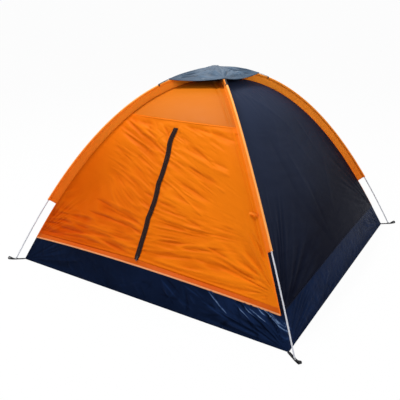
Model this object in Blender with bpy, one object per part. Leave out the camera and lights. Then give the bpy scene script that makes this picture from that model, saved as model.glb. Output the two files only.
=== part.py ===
"""Two-pole dome tent: tub floor, four stretched walls, a T-zip door and a rain cap.

Metres, +Z up, origin on the ground under the crossing of the poles, door towards -Y.
Two jointed fibreglass poles cross at the top and stand on eyelets at the four corners.
Sleeves on the poles carry the walls, so each wall is a sheet pulled between two arches.
"""

import math

import bmesh
import bpy
from mathutils import Vector

# Poles
FOOT_X = 1.040                # middle of the tent to a pole foot, across the front
FOOT_Y = 0.995                # middle of the tent to a pole foot, front to back
APEX_Z = 1.259                # axis of the lower pole at the crossing
POLE_BOW = 0.059              # sideways bow of each half pole, towards front or rear
RISE_POWER = 2.142            # rise of a pole: APEX_Z (1 - t^RISE_POWER)^FOOT_POWER
FOOT_POWER = 1.03
POLE_D = 0.0085
POLE_WALL = 0.0018
FERRULE_WALL = 0.0007
FERRULE_REACH = 0.035         # how far a ferrule grips each of its two sections
SECTION_COUNT = 7             # sections in one pole
SECTION_STEPS = 5             # straight steps that a bent section is drawn with
POLE_SIDES = 8
CORD_D = 0.0022
CORD_SIDES = 5
TIP_REACH = 0.016             # ground to the end of the tube, along the pole
TIP_PIN_D = 0.0036
TIP_COLLAR_D = 0.0104
TIP_PLUG_LENGTH = 0.019

# Fabric
FABRIC = 0.0016               # thickness of every fabric shell
GAP = 0.0003                  # clearance between pieces that touch
SEAM_GAP = 0.0004             # each panel stops this far from a seam between panels
TUB_GAP = 0.0012              # the tub stops this far below the seam with the walls
RIDGE_GAP = 0.0014            # each wall stops this far from the ridge line
SLEEVE_DROP = 0.054           # pole axis to the ridge seam, the width of the sleeve
SLEEVE_START = {              # ground to the open end of each sleeve, along the pole
    "front_left": 0.515,
    "front_right": 0.560,
    "rear_right": 0.480,
    "rear_left": 0.515,
}
SLEEVE_ROOM = 0.0007          # slack round the ferrules inside a sleeve
SLEEVE_SIDES = 8
VENT_REACH = 0.175            # crossing to the top edge of the walls, along a pole
WALL_COLUMNS = 12
WALL_BULGE = 0.028            # wall centre outside the line between its ridges, at the seam
WALL_LIFT = 0.004             # the same centre above that line
VENT_BULGE = 0.006            # bulge of the wall's top edge
VENT_DIP = 0.004              # how far the middle of the top edge hangs

# Tub floor
TUB_CORNER_HEIGHT = 0.165
TUB_FRONT = (FOOT_Y - 0.030, 0.235)   # reach and height of its top edge's middle, front and rear
TUB_SIDE = (FOOT_X - 0.090, 0.250)    # the same at the sides
TUB_LEVELS = 3

# Door
SEAM_HEIGHT = 1.000           # cross seam above the door
DOOR_TOP = SEAM_HEIGHT - 0.023   # where the two flaps' hinge folds meet
DOOR_SILL = 0.262             # foot of the zip at the middle of the front
SILL_CORNER_RISE = 0.030      # height of the sill strip at the tent's corners
DOOR_CORNER_INSET = 0.055     # ridge to the lower corner of the doorway, along the sill
SIDE_COLUMNS = 4

# Zips
TAPE_WIDTH = 0.0150
TAPE = 0.0008
COIL_WIDTH = 0.0031
COIL_HEIGHT = 0.0024
ZIP_END = 0.022               # tape stops this far below the door top
HEM_TAPE_WIDTH = 0.0120
HEM_END = 0.034               # hem zip stops this far from the doorway's lower corner
SILL_TAPE_END = 0.0078        # top of the sill strip to the lower edge of its tape
SILL_TAPE_GAP = 0.0006        # sill tape stands this far off the twisted sill strip
ZIP_REST = 0.012              # foot of the zip to its slider when it is shut
HEM_REST = 0.036              # middle of the door to a hem slider when it is shut

# Zip slider and pull tab
SLIDER_WIDTH = 0.0092
SLIDER_LENGTH = 0.0140
SLIDER_PLATE = 0.0018
SLIDER_RAIL = 0.0014
BRIDGE_WIDTH = 0.0024
BRIDGE_SPAN = 0.0080
BRIDGE_BAR = 0.0012
BRIDGE_ROOM = 0.0020          # height of the window under the bridge
TAB_LENGTH = 0.0280
TAB_WIDTH = 0.0066
TAB = 0.0010
TAB_EYE = 0.0090              # length of the eye that passes round the bridge

# Rain cap
CAP_REACH = {                 # crossing to each corner of the cap, along a pole
    "front_left": 0.345,
    "front_right": 0.275,
    "rear_right": 0.310,
    "rear_left": 0.300,
}
CAP_STEPS = 5
CAP_DROOP = 0.013             # how far the edges hang between the corners
CAP_SLACK = 0.0026            # air between the cap's fold and the sleeve below it
TIE_LENGTH = 0.070
TIE_WIDTH = 0.010
TIE = 0.0012
HOOK_WIDTH = 0.009
HOOK_WALL = 0.0016
HOOK_DEPTH = 0.004            # how far the hook's legs pass the pole's axis

# Roof net
NET_GAPS = 6                  # openings along one side
NET_BAR_SHARE = 0.34          # share of the pitch that is net, not opening
NET = 0.0012
NET_INSET = 0.0065            # net stops this far short of the walls, along a pole

# Corner webbing and eyelets
WEB_WIDTH = 0.018
WEB = 0.0016
LOOP_REACH = 0.052            # eyelet to the end of the peg loop
LOOP_RADIUS = 0.0080
LAP = 0.012                   # webbing folded back past the eyelet
EYELET_BORE = 0.0080
EYELET_WALL = 0.0016
EYELET_FLANGE_D = 0.0155
EYELET_FLANGE = 0.0008
ROUND_SIDES = 12

FINE_STEPS = 720              # samples used to measure along a pole's curve

COLOURS = {
    "orange nylon": ((0.90, 0.24, 0.015), 0.55, 0.0),
    "navy nylon": ((0.022, 0.030, 0.060), 0.55, 0.0),
    "navy tarpaulin": ((0.008, 0.016, 0.055), 0.32, 0.0),
    "slate nylon": ((0.075, 0.110, 0.165), 0.5, 0.0),
    "black net": ((0.012, 0.012, 0.014), 0.7, 0.0),
    "fibreglass": ((0.62, 0.62, 0.64), 0.35, 0.0),
    "elastic": ((0.75, 0.75, 0.72), 0.8, 0.0),
    "zinc": ((0.55, 0.55, 0.56), 0.3, 1.0),
    "black webbing": ((0.010, 0.010, 0.011), 0.75, 0.0),
    "black zip": ((0.014, 0.012, 0.014), 0.6, 0.0),
}


def clear_scene():
    for item in list(bpy.data.objects):
        bpy.data.objects.remove(item, do_unlink=True)


def make_materials():
    made = {}
    for name, (colour, roughness, metallic) in COLOURS.items():
        material = bpy.data.materials.new(name)
        material.use_nodes = True
        shader = material.node_tree.nodes["Principled BSDF"]
        shader.inputs["Base Color"].default_value = (*colour, 1.0)
        shader.inputs["Roughness"].default_value = roughness
        shader.inputs["Metallic"].default_value = metallic
        made[name] = material
    return made


def add_mesh(name, points, faces, material, smooth=False):
    """One object from points and faces, with its doubles merged and its faces outward."""
    shape = bmesh.new()
    corners = [shape.verts.new(point) for point in points]
    for face in faces:
        shape.faces.new([corners[index] for index in face])
    bmesh.ops.remove_doubles(shape, verts=shape.verts, dist=1e-6)
    bmesh.ops.recalc_face_normals(shape, faces=shape.faces)
    mesh = bpy.data.meshes.new(name)
    shape.to_mesh(mesh)
    shape.free()
    mesh.materials.append(MATERIALS[material])
    if smooth:
        mesh.shade_smooth()
        mesh.set_sharp_from_angle(angle=math.radians(35))
    item = bpy.data.objects.new(name, mesh)
    bpy.context.scene.collection.objects.link(item)
    return item


def add_helper(name, points, faces):
    """A cutter or an added shape that a Boolean reads and the model leaves out."""
    item = add_mesh(name, points, faces, "zinc")
    item.hide_render = True
    item.display_type = "WIRE"
    return item


def boolean(item, helper, operation):
    modifier = item.modifiers.new(operation.lower(), "BOOLEAN")
    modifier.operation = operation
    modifier.object = helper


def grid_faces(first, grid, folded=False):
    """Triangles of a grid, split the short way, or towards its middle if it is folded."""
    faces = []
    count, width = len(grid), len(grid[0])
    for i in range(count - 1):
        for j in range(width - 1):
            near = first + i * width + j
            far = near + width
            if folded:
                straight = (i < (count - 1) / 2) == (j < (width - 1) / 2)
            else:
                rising = (grid[i + 1][j + 1] - grid[i][j]).length
                straight = rising <= (grid[i + 1][j] - grid[i][j + 1]).length
            if straight:
                faces.extend(((near, near + 1, far + 1), (near, far + 1, far)))
            else:
                faces.extend(((near, near + 1, far), (near + 1, far + 1, far)))
    return faces


def fabric_shell(name, grids, material, thickness=FABRIC, folded=False):
    """A sheet made of grids that share edges, thickened evenly to both sides."""
    points, faces = [], []
    for grid in grids:
        first = len(points)
        points.extend(point for row in grid for point in row)
        faces += grid_faces(first, grid, folded)
    item = add_mesh(name, points, faces, material, smooth=True)
    solid = item.modifiers.new("thickness", "SOLIDIFY")
    solid.thickness = thickness
    solid.offset = 0.0
    return item


def prism(name, outline, frame, start, end, material):
    """An outline in a frame's x and h directions, extruded along it from start to end."""
    origin, across, along, height = frame
    points = []
    for run in (start, end):
        points.extend(origin + across * x + height * h + along * run for x, h in outline)
    count = len(outline)
    faces = [tuple(range(count)), tuple(range(count, 2 * count))]
    faces += [(i, (i + 1) % count, (i + 1) % count + count, i + count) for i in range(count)]
    return add_mesh(name, points, faces, material)


def plate(name, outline, normal, thickness, material):
    """A flat sheet of the given outline, thickened evenly to both sides."""
    half = normal * (thickness / 2)
    points = [point + half for point in outline] + [point - half for point in outline]
    count = len(outline)
    faces = [tuple(range(count)), tuple(range(count, 2 * count))]
    faces += [(i, (i + 1) % count, (i + 1) % count + count, i + count) for i in range(count)]
    return add_mesh(name, points, faces, material)


def cell_solid(name, edges, filled, frame, material):
    """A block built of box cells: edges holds the cell limits, filled the solid cells."""
    origin, across, along, height = frame
    xs, ys, hs = edges
    points, index, faces = [], {}, []

    def corner(i, j, k):
        if (i, j, k) not in index:
            index[i, j, k] = len(points)
            points.append(origin + across * xs[i] + along * ys[j] + height * hs[k])
        return index[i, j, k]

    sides = (
        ((1, 0, 0), ((1, 0, 0), (1, 1, 0), (1, 1, 1), (1, 0, 1))),
        ((-1, 0, 0), ((0, 0, 0), (0, 0, 1), (0, 1, 1), (0, 1, 0))),
        ((0, 1, 0), ((0, 1, 0), (0, 1, 1), (1, 1, 1), (1, 1, 0))),
        ((0, -1, 0), ((0, 0, 0), (1, 0, 0), (1, 0, 1), (0, 0, 1))),
        ((0, 0, 1), ((0, 0, 1), (1, 0, 1), (1, 1, 1), (0, 1, 1))),
        ((0, 0, -1), ((0, 0, 0), (0, 1, 0), (1, 1, 0), (1, 0, 0))),
    )
    for i, j, k in filled:
        for (di, dj, dk), quad in sides:
            if (i + di, j + dj, k + dk) not in filled:
                faces.append([corner(i + a, j + b, k + c) for a, b, c in quad])
    return add_mesh(name, points, faces, material)


def carry(name, pivot, items):
    """Hangs items on an empty that stands on their joint's axis."""
    empty = bpy.data.objects.new(name, None)
    empty.location = pivot
    bpy.context.scene.collection.objects.link(empty)
    bpy.context.view_layer.update()
    for item in items:
        item.parent = empty
        item.matrix_parent_inverse = empty.matrix_world.inverted()
    return empty


def pole_point(side, apex_z, u):
    """The pole's curve from one foot (u = -1) over the crossing (u = 0) to the other."""
    spread = math.hypot(FOOT_X, FOOT_Y)
    bow = POLE_BOW * math.sin(math.pi * u)
    x = FOOT_X * u - bow * FOOT_Y / spread
    y = FOOT_Y * u + bow * FOOT_X / spread
    rise = max(0.0, 1.0 - abs(u) ** RISE_POWER) ** FOOT_POWER
    return Vector((side * x, y, apex_z * rise))


class PolePath:
    """A pole's axis as straight steps, with a sideways and an outward direction."""

    def __init__(self, side, apex_z):
        fine = [pole_point(side, apex_z, 2 * i / FINE_STEPS - 1) for i in range(FINE_STEPS + 1)]
        runs = [0.0]
        for near, far in zip(fine, fine[1:]):
            runs.append(runs[-1] + (far - near).length)
        self.length = runs[-1]
        steps = SECTION_COUNT * SECTION_STEPS
        step = (self.length - 2 * TIP_REACH) / steps
        self.arcs = [0.0] + [TIP_REACH + k * step for k in range(steps + 1)] + [self.length]
        self.points = [self.sample(fine, runs, arc) for arc in self.arcs]
        self.sideways, self.outward = [], []
        for i in range(len(self.points)):
            before = self.points[max(i - 1, 0)]
            after = self.points[min(i + 1, len(self.points) - 1)]
            tangent = (after - before).normalized()
            across = tangent.cross(Vector((0, 0, 1))).normalized()
            self.sideways.append(across)
            self.outward.append(across.cross(tangent))

    @staticmethod
    def sample(fine, runs, arc):
        for i in range(len(runs) - 1):
            if arc <= runs[i + 1]:
                share = (arc - runs[i]) / (runs[i + 1] - runs[i])
                return fine[i].lerp(fine[i + 1], share)
        return fine[-1].copy()

    def at(self, arc):
        """Point, sideways and outward direction at a run along the pole."""
        last = len(self.arcs) - 2
        i = next((k for k in range(last + 1) if arc <= self.arcs[k + 1] + 1e-9), last)
        share = (arc - self.arcs[i]) / (self.arcs[i + 1] - self.arcs[i])
        return (
            self.points[i].lerp(self.points[i + 1], share),
            self.sideways[i].lerp(self.sideways[i + 1], share),
            self.outward[i].lerp(self.outward[i + 1], share),
        )

    def stations(self, start, end):
        """Runs at which a piece from start to end has to bend with the pole."""
        return [start] + [a for a in self.arcs if start + 1e-6 < a < end - 1e-6] + [end]


class Corner:
    """One of the tent's four corners, with runs measured from its pole foot."""

    def __init__(self, path, from_start):
        self.path = path
        self.from_start = from_start
        self.half = path.length / 2

    def at(self, arc):
        return self.path.at(arc if self.from_start else self.path.length - arc)

    def ridge(self, arc):
        point, _, outward = self.at(arc)
        return point - outward * SLEEVE_DROP

    def arc_at_height(self, height):
        """Run at which the ridge line reaches a height."""
        low, high = 0.0, self.half
        for _ in range(50):
            middle = (low + high) / 2
            low, high = (middle, high) if self.ridge(middle).z < height else (low, middle)
        return (low + high) / 2

    def stations(self, start, end):
        if self.from_start:
            return self.path.stations(start, end)
        runs = self.path.stations(self.path.length - end, self.path.length - start)
        return [self.path.length - run for run in reversed(runs)]


class Wall:
    """The surface between two neighbouring ridges, hollow across and straight upwards."""

    def __init__(self, left, right, out, tub_reach, tub_height):
        self.left, self.right = left, right
        self.out = Vector(out)
        self.floor_arc = left.arc_at_height(0.0)
        self.tub_arc = left.arc_at_height(TUB_CORNER_HEIGHT)
        self.seam_arc = left.arc_at_height(SEAM_HEIGHT)
        self.vent_arc = left.half - VENT_REACH
        self.tub_middle = self.out * tub_reach + Vector((0, 0, tub_height))
        self.seam_middle = self.chord(self.seam_arc) + self.out * WALL_BULGE
        self.seam_middle.z += WALL_LIFT

    def chord(self, arc):
        return (self.left.ridge(arc) + self.right.ridge(arc)) / 2

    def middle(self, arc):
        """Centre line of the wall: straight up to the seam, then over to the vent."""
        low, high = self.chord(self.tub_arc).z, self.chord(self.seam_arc).z
        share = (self.chord(arc).z - low) / (high - low)
        if share <= 1.0:
            return self.tub_middle.lerp(self.seam_middle, share)
        share = (arc - self.seam_arc) / (self.vent_arc - self.seam_arc)
        bulge = WALL_BULGE + (VENT_BULGE - WALL_BULGE) * share
        lift = WALL_LIFT + (-VENT_DIP - WALL_LIFT) * share
        return self.chord(arc) + self.out * bulge + Vector((0, 0, lift))

    def row(self, arc, columns=WALL_COLUMNS):
        """Points across the wall from the left ridge to the right one."""
        left, right = self.left.ridge(arc), self.right.ridge(arc)
        bend = self.middle(arc) - (left + right) / 2
        shares = [k / columns for k in range(columns + 1)]
        return [left.lerp(right, u) + bend * (4 * u * (1 - u)) for u in shares]

    def rows(self, start, end):
        return [self.row(arc) for arc in self.left.stations(start, end)]


def pull(line, inner_line, distance):
    """Moves the points of an edge towards the next line in, to leave a seam's gap."""
    return [p + (q - p).normalized() * distance for p, q in zip(line, inner_line)]


def trim(grid, low=0.0, high=0.0, left=0.0, right=0.0):
    """Takes a little off the edges of a grid of points."""
    if left:
        first = pull([row[0] for row in grid], [row[1] for row in grid], left)
        grid = [[p] + row[1:] for p, row in zip(first, grid)]
    if right:
        last = pull([row[-1] for row in grid], [row[-2] for row in grid], right)
        grid = [row[:-1] + [p] for p, row in zip(last, grid)]
    if low:
        grid = [pull(grid[0], grid[1], low)] + grid[1:]
    if high:
        grid = grid[:-1] + [pull(grid[-1], grid[-2], high)]
    return grid


def swept(name, corner, profile, sides, material):
    """A round piece along a pole from (run, radius) pairs: a closed loop or a capped rod."""
    loop = profile[0] == profile[-1]
    rings = profile[:-1] if loop else profile
    points, faces = [], []
    for run, radius in rings:
        centre, across, outward = corner.at(run)
        for k in range(sides):
            angle = 2 * math.pi * (k + 0.5) / sides
            offset = across * math.cos(angle) + outward * math.sin(angle)
            points.append(centre + offset * radius)
    count = len(rings)
    for i in range(count if loop else count - 1):
        for k in range(sides):
            near, far = i * sides, (i + 1) % count * sides
            after = (k + 1) % sides
            faces.append((near + k, near + after, far + after, far + k))
    if not loop:
        faces.append(tuple(range(sides)))
        faces.append(tuple(range((count - 1) * sides, count * sides)))
    return add_mesh(name, points, faces, material, smooth=True)


def turned(name, profile, centre, sides, material):
    """A round piece about the vertical from a closed profile of (radius, height) pairs."""
    points, faces = [], []
    for radius, height in profile:
        for k in range(sides):
            angle = 2 * math.pi * k / sides
            flat = Vector((math.cos(angle), math.sin(angle), 0)) * radius
            points.append(centre + flat + Vector((0, 0, height)))
    count = len(profile)
    for i in range(count):
        for k in range(sides):
            near, far = i * sides, (i + 1) % count * sides
            after = (k + 1) % sides
            faces.append((near + k, near + after, far + after, far + k))
    return add_mesh(name, points, faces, material, smooth=True)


def make_pole(name, path):
    """Seven tubes that plug into each other through the ferrule at each one's far end."""
    whole = Corner(path, True)
    radius, bore = POLE_D / 2, POLE_D / 2 - POLE_WALL
    socket = radius + GAP
    ferrule = socket + FERRULE_WALL
    for number in range(SECTION_COUNT):
        first = 1 + number * SECTION_STEPS
        stations = path.arcs[first:first + SECTION_STEPS + 1]
        start = stations[0] + (GAP if number else 0.0)
        end = stations[-1]
        outer = [(start, radius)] + [(a, radius) for a in stations[1:-1]]
        inner = [(end, bore)] + [(a, bore) for a in reversed(stations[1:-1])] + [(start, bore)]
        if number < SECTION_COUNT - 1:
            near, far = end - FERRULE_REACH, end + FERRULE_REACH
            outer += [(near, radius), (near, ferrule), (end, ferrule), (far, ferrule)]
            outer += [(far, socket), (end, socket)]
        else:
            outer.append((end, radius))
        profile = outer + inner + [outer[0]]
        swept(f"{name}_section_{number + 1}", whole, profile, POLE_SIDES, "fibreglass")
    plug_end = TIP_REACH + TIP_PLUG_LENGTH + GAP
    runs = path.stations(plug_end, path.length - plug_end)
    cord = [(run, CORD_D / 2) for run in runs]
    swept(f"{name}_shock_cord", whole, cord, CORD_SIDES, "elastic")


def eyelet_stack():
    """Heights of the eyelet's parts above the ground, from its lower flange up."""
    lower_web = EYELET_FLANGE + GAP
    upper_web = lower_web + WEB + GAP
    upper_flange = upper_web + WEB + GAP
    return lower_web, upper_web, upper_flange, upper_flange + EYELET_FLANGE


def make_tip(corner_name, corner):
    """The pole's end fitting: a pin in the eyelet, a collar on it, a plug in the tube."""
    foot, _, outward = corner.at(0.0)
    lean = math.hypot(outward.x, outward.y)
    level = outward.z
    pin, collar = TIP_PIN_D / 2, TIP_COLLAR_D / 2
    plug = POLE_D / 2 - POLE_WALL - GAP
    pin_start = (GAP + pin * level) / lean
    collar_start = (eyelet_stack()[3] + GAP + collar * level) / lean
    collar_end = TIP_REACH - GAP
    plug_end = TIP_REACH + TIP_PLUG_LENGTH
    profile = [(pin_start, pin), (collar_start, pin), (collar_start, collar)]
    profile += [(collar_end, collar), (collar_end, plug), (TIP_REACH, plug), (plug_end, plug)]
    swept(f"pole_tip_{corner_name}", corner, profile, POLE_SIDES, "zinc")


def make_sleeve(corner_name, corner):
    """A tube of wall cloth round the pole, with a flat band down to the ridge seam."""
    room = POLE_D / 2 + GAP + FERRULE_WALL + SLEEVE_ROOM
    inside = room / math.cos(math.pi / SLEEVE_SIDES)
    outside = inside + FABRIC
    band = FABRIC / 2
    half_slot = math.asin(band / outside)
    turn = 2 * (math.pi - half_slot) / SLEEVE_SIDES
    angles = [-math.pi / 2 - half_slot - k * turn for k in range(SLEEVE_SIDES + 1)]
    ring = [(math.cos(a) * outside, math.sin(a) * outside) for a in angles]
    hole = [(math.cos(a) * inside, math.sin(a) * inside) for a in angles]
    outer = [(-band, -SLEEVE_DROP)] + ring + [(band, -SLEEVE_DROP)]
    runs = corner.stations(SLEEVE_START[corner_name], corner.half - VENT_REACH)
    points, faces = [], []
    for run in runs:
        centre, across, outward = corner.at(run)
        points.extend(centre + across * x + outward * h for x, h in outer + hole)
    around, inner = len(outer), len(hole)
    size = around + inner
    for i in range(len(runs) - 1):
        for k in range(around):
            after = (k + 1) % around
            low = i * size
            faces.append((low + k, low + after, low + size + after, low + size + k))
        for k in range(inner):
            after = (k + 1) % inner
            low = i * size + around
            faces.append((low + k, low + after, low + size + after, low + size + k))
    for low in (0, (len(runs) - 1) * size):
        faces.append((low, low + 1, low + around - 2, low + around - 1))
        for k in range(inner):
            after = (k + 1) % inner
            faces.append((low + 1 + k, low + 1 + after, low + around + after, low + around + k))
    return add_mesh(f"pole_sleeve_{corner_name}", points, faces, "orange nylon", smooth=True)


def sleeve_radius():
    room = POLE_D / 2 + GAP + FERRULE_WALL + SLEEVE_ROOM
    return room / math.cos(math.pi / SLEEVE_SIDES) + FABRIC


def make_tub(walls):
    """The floor and its turned-up sides, one welded sheet, standing on the ground."""
    levels = []
    for level in range(TUB_LEVELS):
        share = level / (TUB_LEVELS - 1)
        ring, inner_ring = [], []
        for wall in walls:
            left, right = wall.left.ridge(wall.floor_arc), wall.right.ridge(wall.floor_arc)
            top = [p - Vector((0, 0, TUB_GAP)) for p in wall.row(wall.tub_arc)]
            for k in range(WALL_COLUMNS):
                foot = left.lerp(right, k / WALL_COLUMNS)
                foot.z = 0.0
                point = foot.lerp(top[k], share)
                ring.append(point)
                inward = -wall.out * FABRIC
                if k == 0:
                    inward -= wall.before.out * FABRIC
                lift = Vector((0, 0, FABRIC if level == 0 else 0.0))
                inner_ring.append(point + inward + lift)
        levels.append((ring, inner_ring))
    around = len(levels[0][0])
    points = [p for ring, _ in levels for p in ring] + [p for _, ring in levels for p in ring]
    inner = TUB_LEVELS * around
    faces = [tuple(range(around)), tuple(range(inner, inner + around))]
    for level in range(TUB_LEVELS - 1):
        for base in (0, inner):
            low = base + level * around
            for k in range(around):
                after = (k + 1) % around
                faces.append((low + k, low + after, low + around + after, low + around + k))
    rim = (TUB_LEVELS - 1) * around
    for k in range(around):
        after = (k + 1) % around
        faces.append((rim + k, rim + after, inner + rim + after, inner + rim + k))
    return add_mesh("groundsheet_tub", points, faces, "navy tarpaulin")


def make_wall(name, wall, material):
    grid = wall.rows(wall.tub_arc, wall.vent_arc)
    grid = trim(grid, SEAM_GAP, SEAM_GAP, RIDGE_GAP, RIDGE_GAP)
    fabric_shell(name, [grid], material)


class Door:
    """Points that the front panels, the flaps and the zips share."""

    def __init__(self, front):
        self.front = front
        low, high = front.tub_middle, front.seam_middle
        self.top = low.lerp(high, (DOOR_TOP - low.z) / (high.z - low.z))
        self.foot = low.lerp(high, (DOOR_SILL - low.z) / (high.z - low.z))
        self.sill_arc = front.left.arc_at_height(TUB_CORNER_HEIGHT + SILL_CORNER_RISE)
        low, high = front.chord(front.tub_arc).z, front.chord(front.seam_arc).z
        share = (self.top - front.tub_middle).length
        share /= (front.seam_middle - front.tub_middle).length
        self.top_arc = front.left.arc_at_height(low + (high - low) * share)

    def corner(self, ridge_corner):
        """Lower corner of the doorway, on the sill line near a tent corner."""
        start = ridge_corner.ridge(self.sill_arc)
        return start + (self.foot - start).normalized() * DOOR_CORNER_INSET

    def sill_line(self):
        half = WALL_COLUMNS // 2
        left, right = self.front.left.ridge(self.sill_arc), self.front.right.ridge(self.sill_arc)
        line = [left.lerp(self.foot, k / half) for k in range(half)]
        return line + [self.foot.lerp(right, k / half) for k in range(half + 1)]

    def below_sill(self, reach):
        """A line on the sill strip at a reach below its top."""
        top, low = self.sill_line(), self.front.row(self.front.tub_arc)
        return [p + (q - p).normalized() * reach for p, q in zip(top, low)]


def make_front(front, door):
    """Sill strip, lower panel with the doorway cut out of it, and the plain upper panel."""
    sill = [front.row(front.tub_arc), door.below_sill(SILL_TAPE_END), door.sill_line()]
    fabric_shell("door_sill", [trim(sill, SEAM_GAP, SEAM_GAP, RIDGE_GAP, RIDGE_GAP)],
                 "orange nylon")

    upper = front.rows(front.seam_arc, front.vent_arc)
    fabric_shell("front_upper_panel",
                 [trim(upper, SEAM_GAP, SEAM_GAP, RIDGE_GAP, RIDGE_GAP)], "orange nylon")

    grids = []
    half = WALL_COLUMNS // 2
    arcs = front.left.stations(door.sill_arc, door.top_arc)
    for corner, flip in ((front.left, False), (front.right, True)):
        low = door.corner(corner)
        grid = []
        for arc in arcs:
            share = (arc - arcs[0]) / (arcs[-1] - arcs[0])
            outer, inner = corner.ridge(arc), low.lerp(door.top, share)
            grid.append([outer.lerp(inner, k / half) for k in range(half + 1)])
        ends = trim(grid, low=SEAM_GAP, left=RIDGE_GAP, right=SEAM_GAP)
        grid = ends[:-1] + [ends[-1][:-1] + [grid[-1][-1]]]
        grids.append([list(reversed(row)) for row in grid] if flip else grid)
    lower_edge = grids[0][-1] + grids[1][-1][1:]
    upper_edge = trim(front.rows(front.seam_arc, front.vent_arc),
                      left=RIDGE_GAP, right=RIDGE_GAP)[0]
    strip = trim([lower_edge, upper_edge], high=SEAM_GAP)
    fabric_shell("front_lower_panel", grids + [strip], "orange nylon")


def inset_triangle(corners, normal, gaps):
    """Moves each edge of a triangle inwards by its own gap."""
    lines = []
    for i in range(3):
        start, end = corners[i], corners[(i + 1) % 3]
        along = (end - start).normalized()
        inward = normal.cross(along)
        if inward.dot(corners[(i + 2) % 3] - start) < 0:
            inward.negate()
        lines.append((start + inward * gaps[i], along, inward))
    moved = []
    for i in range(3):
        point, along, _ = lines[i]
        other, _, inward = lines[i - 1]
        run = (other - point).dot(inward) / along.dot(inward)
        moved.append(point + along * run)
    return moved


class Flap:
    """One door flap: its corners, its directions and its two zip edges."""

    def __init__(self, door, corner):
        self.top, self.foot = door.top, door.foot
        self.low = door.corner(corner)
        self.up = (self.top - self.foot).normalized()
        normal = (self.low - self.foot).cross(self.top - self.foot).normalized()
        self.normal = -normal if normal.y > 0 else normal
        across = self.up.cross(self.normal)
        self.across = across if across.dot(self.low - self.foot) > 0 else -across
        self.hem = (self.low - self.foot).normalized()
        rise = self.hem.cross(self.normal)
        self.rise = rise if rise.dot(self.up) > 0 else -rise
        self.face = self.normal * (FABRIC / 2 + GAP)
        self.zip_length = (self.top - self.foot).length
        self.hem_length = (self.low - self.foot).length

    def zip_frame(self):
        return self.foot + self.face, self.across, self.up, self.normal

    def hem_frame(self):
        return self.foot - self.face, self.rise, self.hem, -self.normal

    def hinge(self):
        """A point on the hinge fold and its direction, at the outer face of the cloth."""
        return self.low + self.normal * (FABRIC / 2), (self.top - self.low).normalized()


def tape_outline(width):
    """Section of a zip half: the flat tape and the coil along its edge."""
    return [(GAP, 0.0), (width, 0.0), (width, TAPE), (COIL_WIDTH, TAPE),
            (COIL_WIDTH, COIL_HEIGHT), (GAP, COIL_HEIGHT)]


def make_flap(side, flap):
    gaps = (SEAM_GAP, GAP, SEAM_GAP)
    outline = inset_triangle([flap.low, flap.foot, flap.top], flap.normal, gaps)
    cloth = plate(f"door_flap_{side}", outline, flap.normal, FABRIC, "orange nylon")
    chain = prism(f"door_zip_{side}", tape_outline(TAPE_WIDTH), flap.zip_frame(),
                  2 * SEAM_GAP, flap.zip_length - ZIP_END, "black zip")
    hem = prism(f"hem_zip_{side}", [(x + SEAM_GAP, h) for x, h in tape_outline(HEM_TAPE_WIDTH)],
                flap.hem_frame(), 2 * GAP, flap.hem_length - HEM_END, "black zip")
    return [cloth, chain, hem]


def make_sill_tape(side, door, columns):
    """Fixed half of a hem zip, on the inner face of the sill strip."""
    top, low = door.sill_line(), door.front.row(door.front.tub_arc)
    rows = []
    for reach in (SILL_TAPE_END, 2 * SEAM_GAP):
        line = door.below_sill(reach)
        row = []
        for k in columns:
            inward = (low[k] - top[k]).cross(line[k + 1] - line[k - 1]).normalized()
            row.append(line[k] + inward * (FABRIC / 2 + SILL_TAPE_GAP + TAPE / 2))
        rows.append(row)
    rows = trim(rows, left=2 * GAP, right=2 * GAP)
    fabric_shell(f"sill_zip_{side}", [rows], "black zip", TAPE)


def slider_heights():
    plate_low = COIL_HEIGHT + GAP
    plate_high = plate_low + SLIDER_PLATE
    window = plate_high + BRIDGE_ROOM
    return TAPE + GAP, plate_low, plate_high, window, window + BRIDGE_BAR


def make_slider(name, frame, run, shift):
    """A zip slider over one half of the chain, with the bridge that holds its tab."""
    rail_x = COIL_WIDTH + GAP
    middle = (GAP + SLIDER_WIDTH) / 2
    xs = [GAP, rail_x, middle - BRIDGE_WIDTH / 2, middle + BRIDGE_WIDTH / 2, SLIDER_WIDTH]
    xs.insert(2, rail_x + SLIDER_RAIL)
    xs = sorted(x + shift for x in xs)
    inset = (SLIDER_LENGTH - BRIDGE_SPAN) / 2
    ys = [0.0, inset, inset + BRIDGE_BAR, SLIDER_LENGTH - inset - BRIDGE_BAR,
          SLIDER_LENGTH - inset, SLIDER_LENGTH]
    ys = [run + y for y in ys]
    hs = list(slider_heights())
    rail = xs.index(rail_x + shift)
    bridge = xs.index(middle - BRIDGE_WIDTH / 2 + shift)
    columns, lengths = range(len(xs) - 1), range(len(ys) - 1)
    filled = {(i, j, 1) for i in columns for j in lengths}
    filled |= {(i, j, 0) for i in columns for j in lengths
               if rail <= i and xs[i + 1] <= rail_x + shift + SLIDER_RAIL + 1e-9}
    across = [i for i in columns
              if bridge <= i and xs[i + 1] <= middle + BRIDGE_WIDTH / 2 + shift + 1e-9]
    filled |= {(i, j, 2) for i in across for j in (1, 3)}
    filled |= {(i, j, 3) for i in across for j in (1, 2, 3)}
    return cell_solid(name, (xs, ys, hs), filled, frame, "zinc")


def tab_pivot(frame, run, shift):
    """Middle of the tab's crossbar, in the window under the bridge."""
    origin, across, along, height = frame
    _, _, plate_high, window, _ = slider_heights()
    inset = (SLIDER_LENGTH - BRIDGE_SPAN) / 2
    bar_run = run + SLIDER_LENGTH - inset - BRIDGE_BAR - GAP - TAB
    middle = (GAP + SLIDER_WIDTH) / 2 + shift
    return origin + across * middle + along * bar_run + height * ((plate_high + window) / 2)


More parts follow.
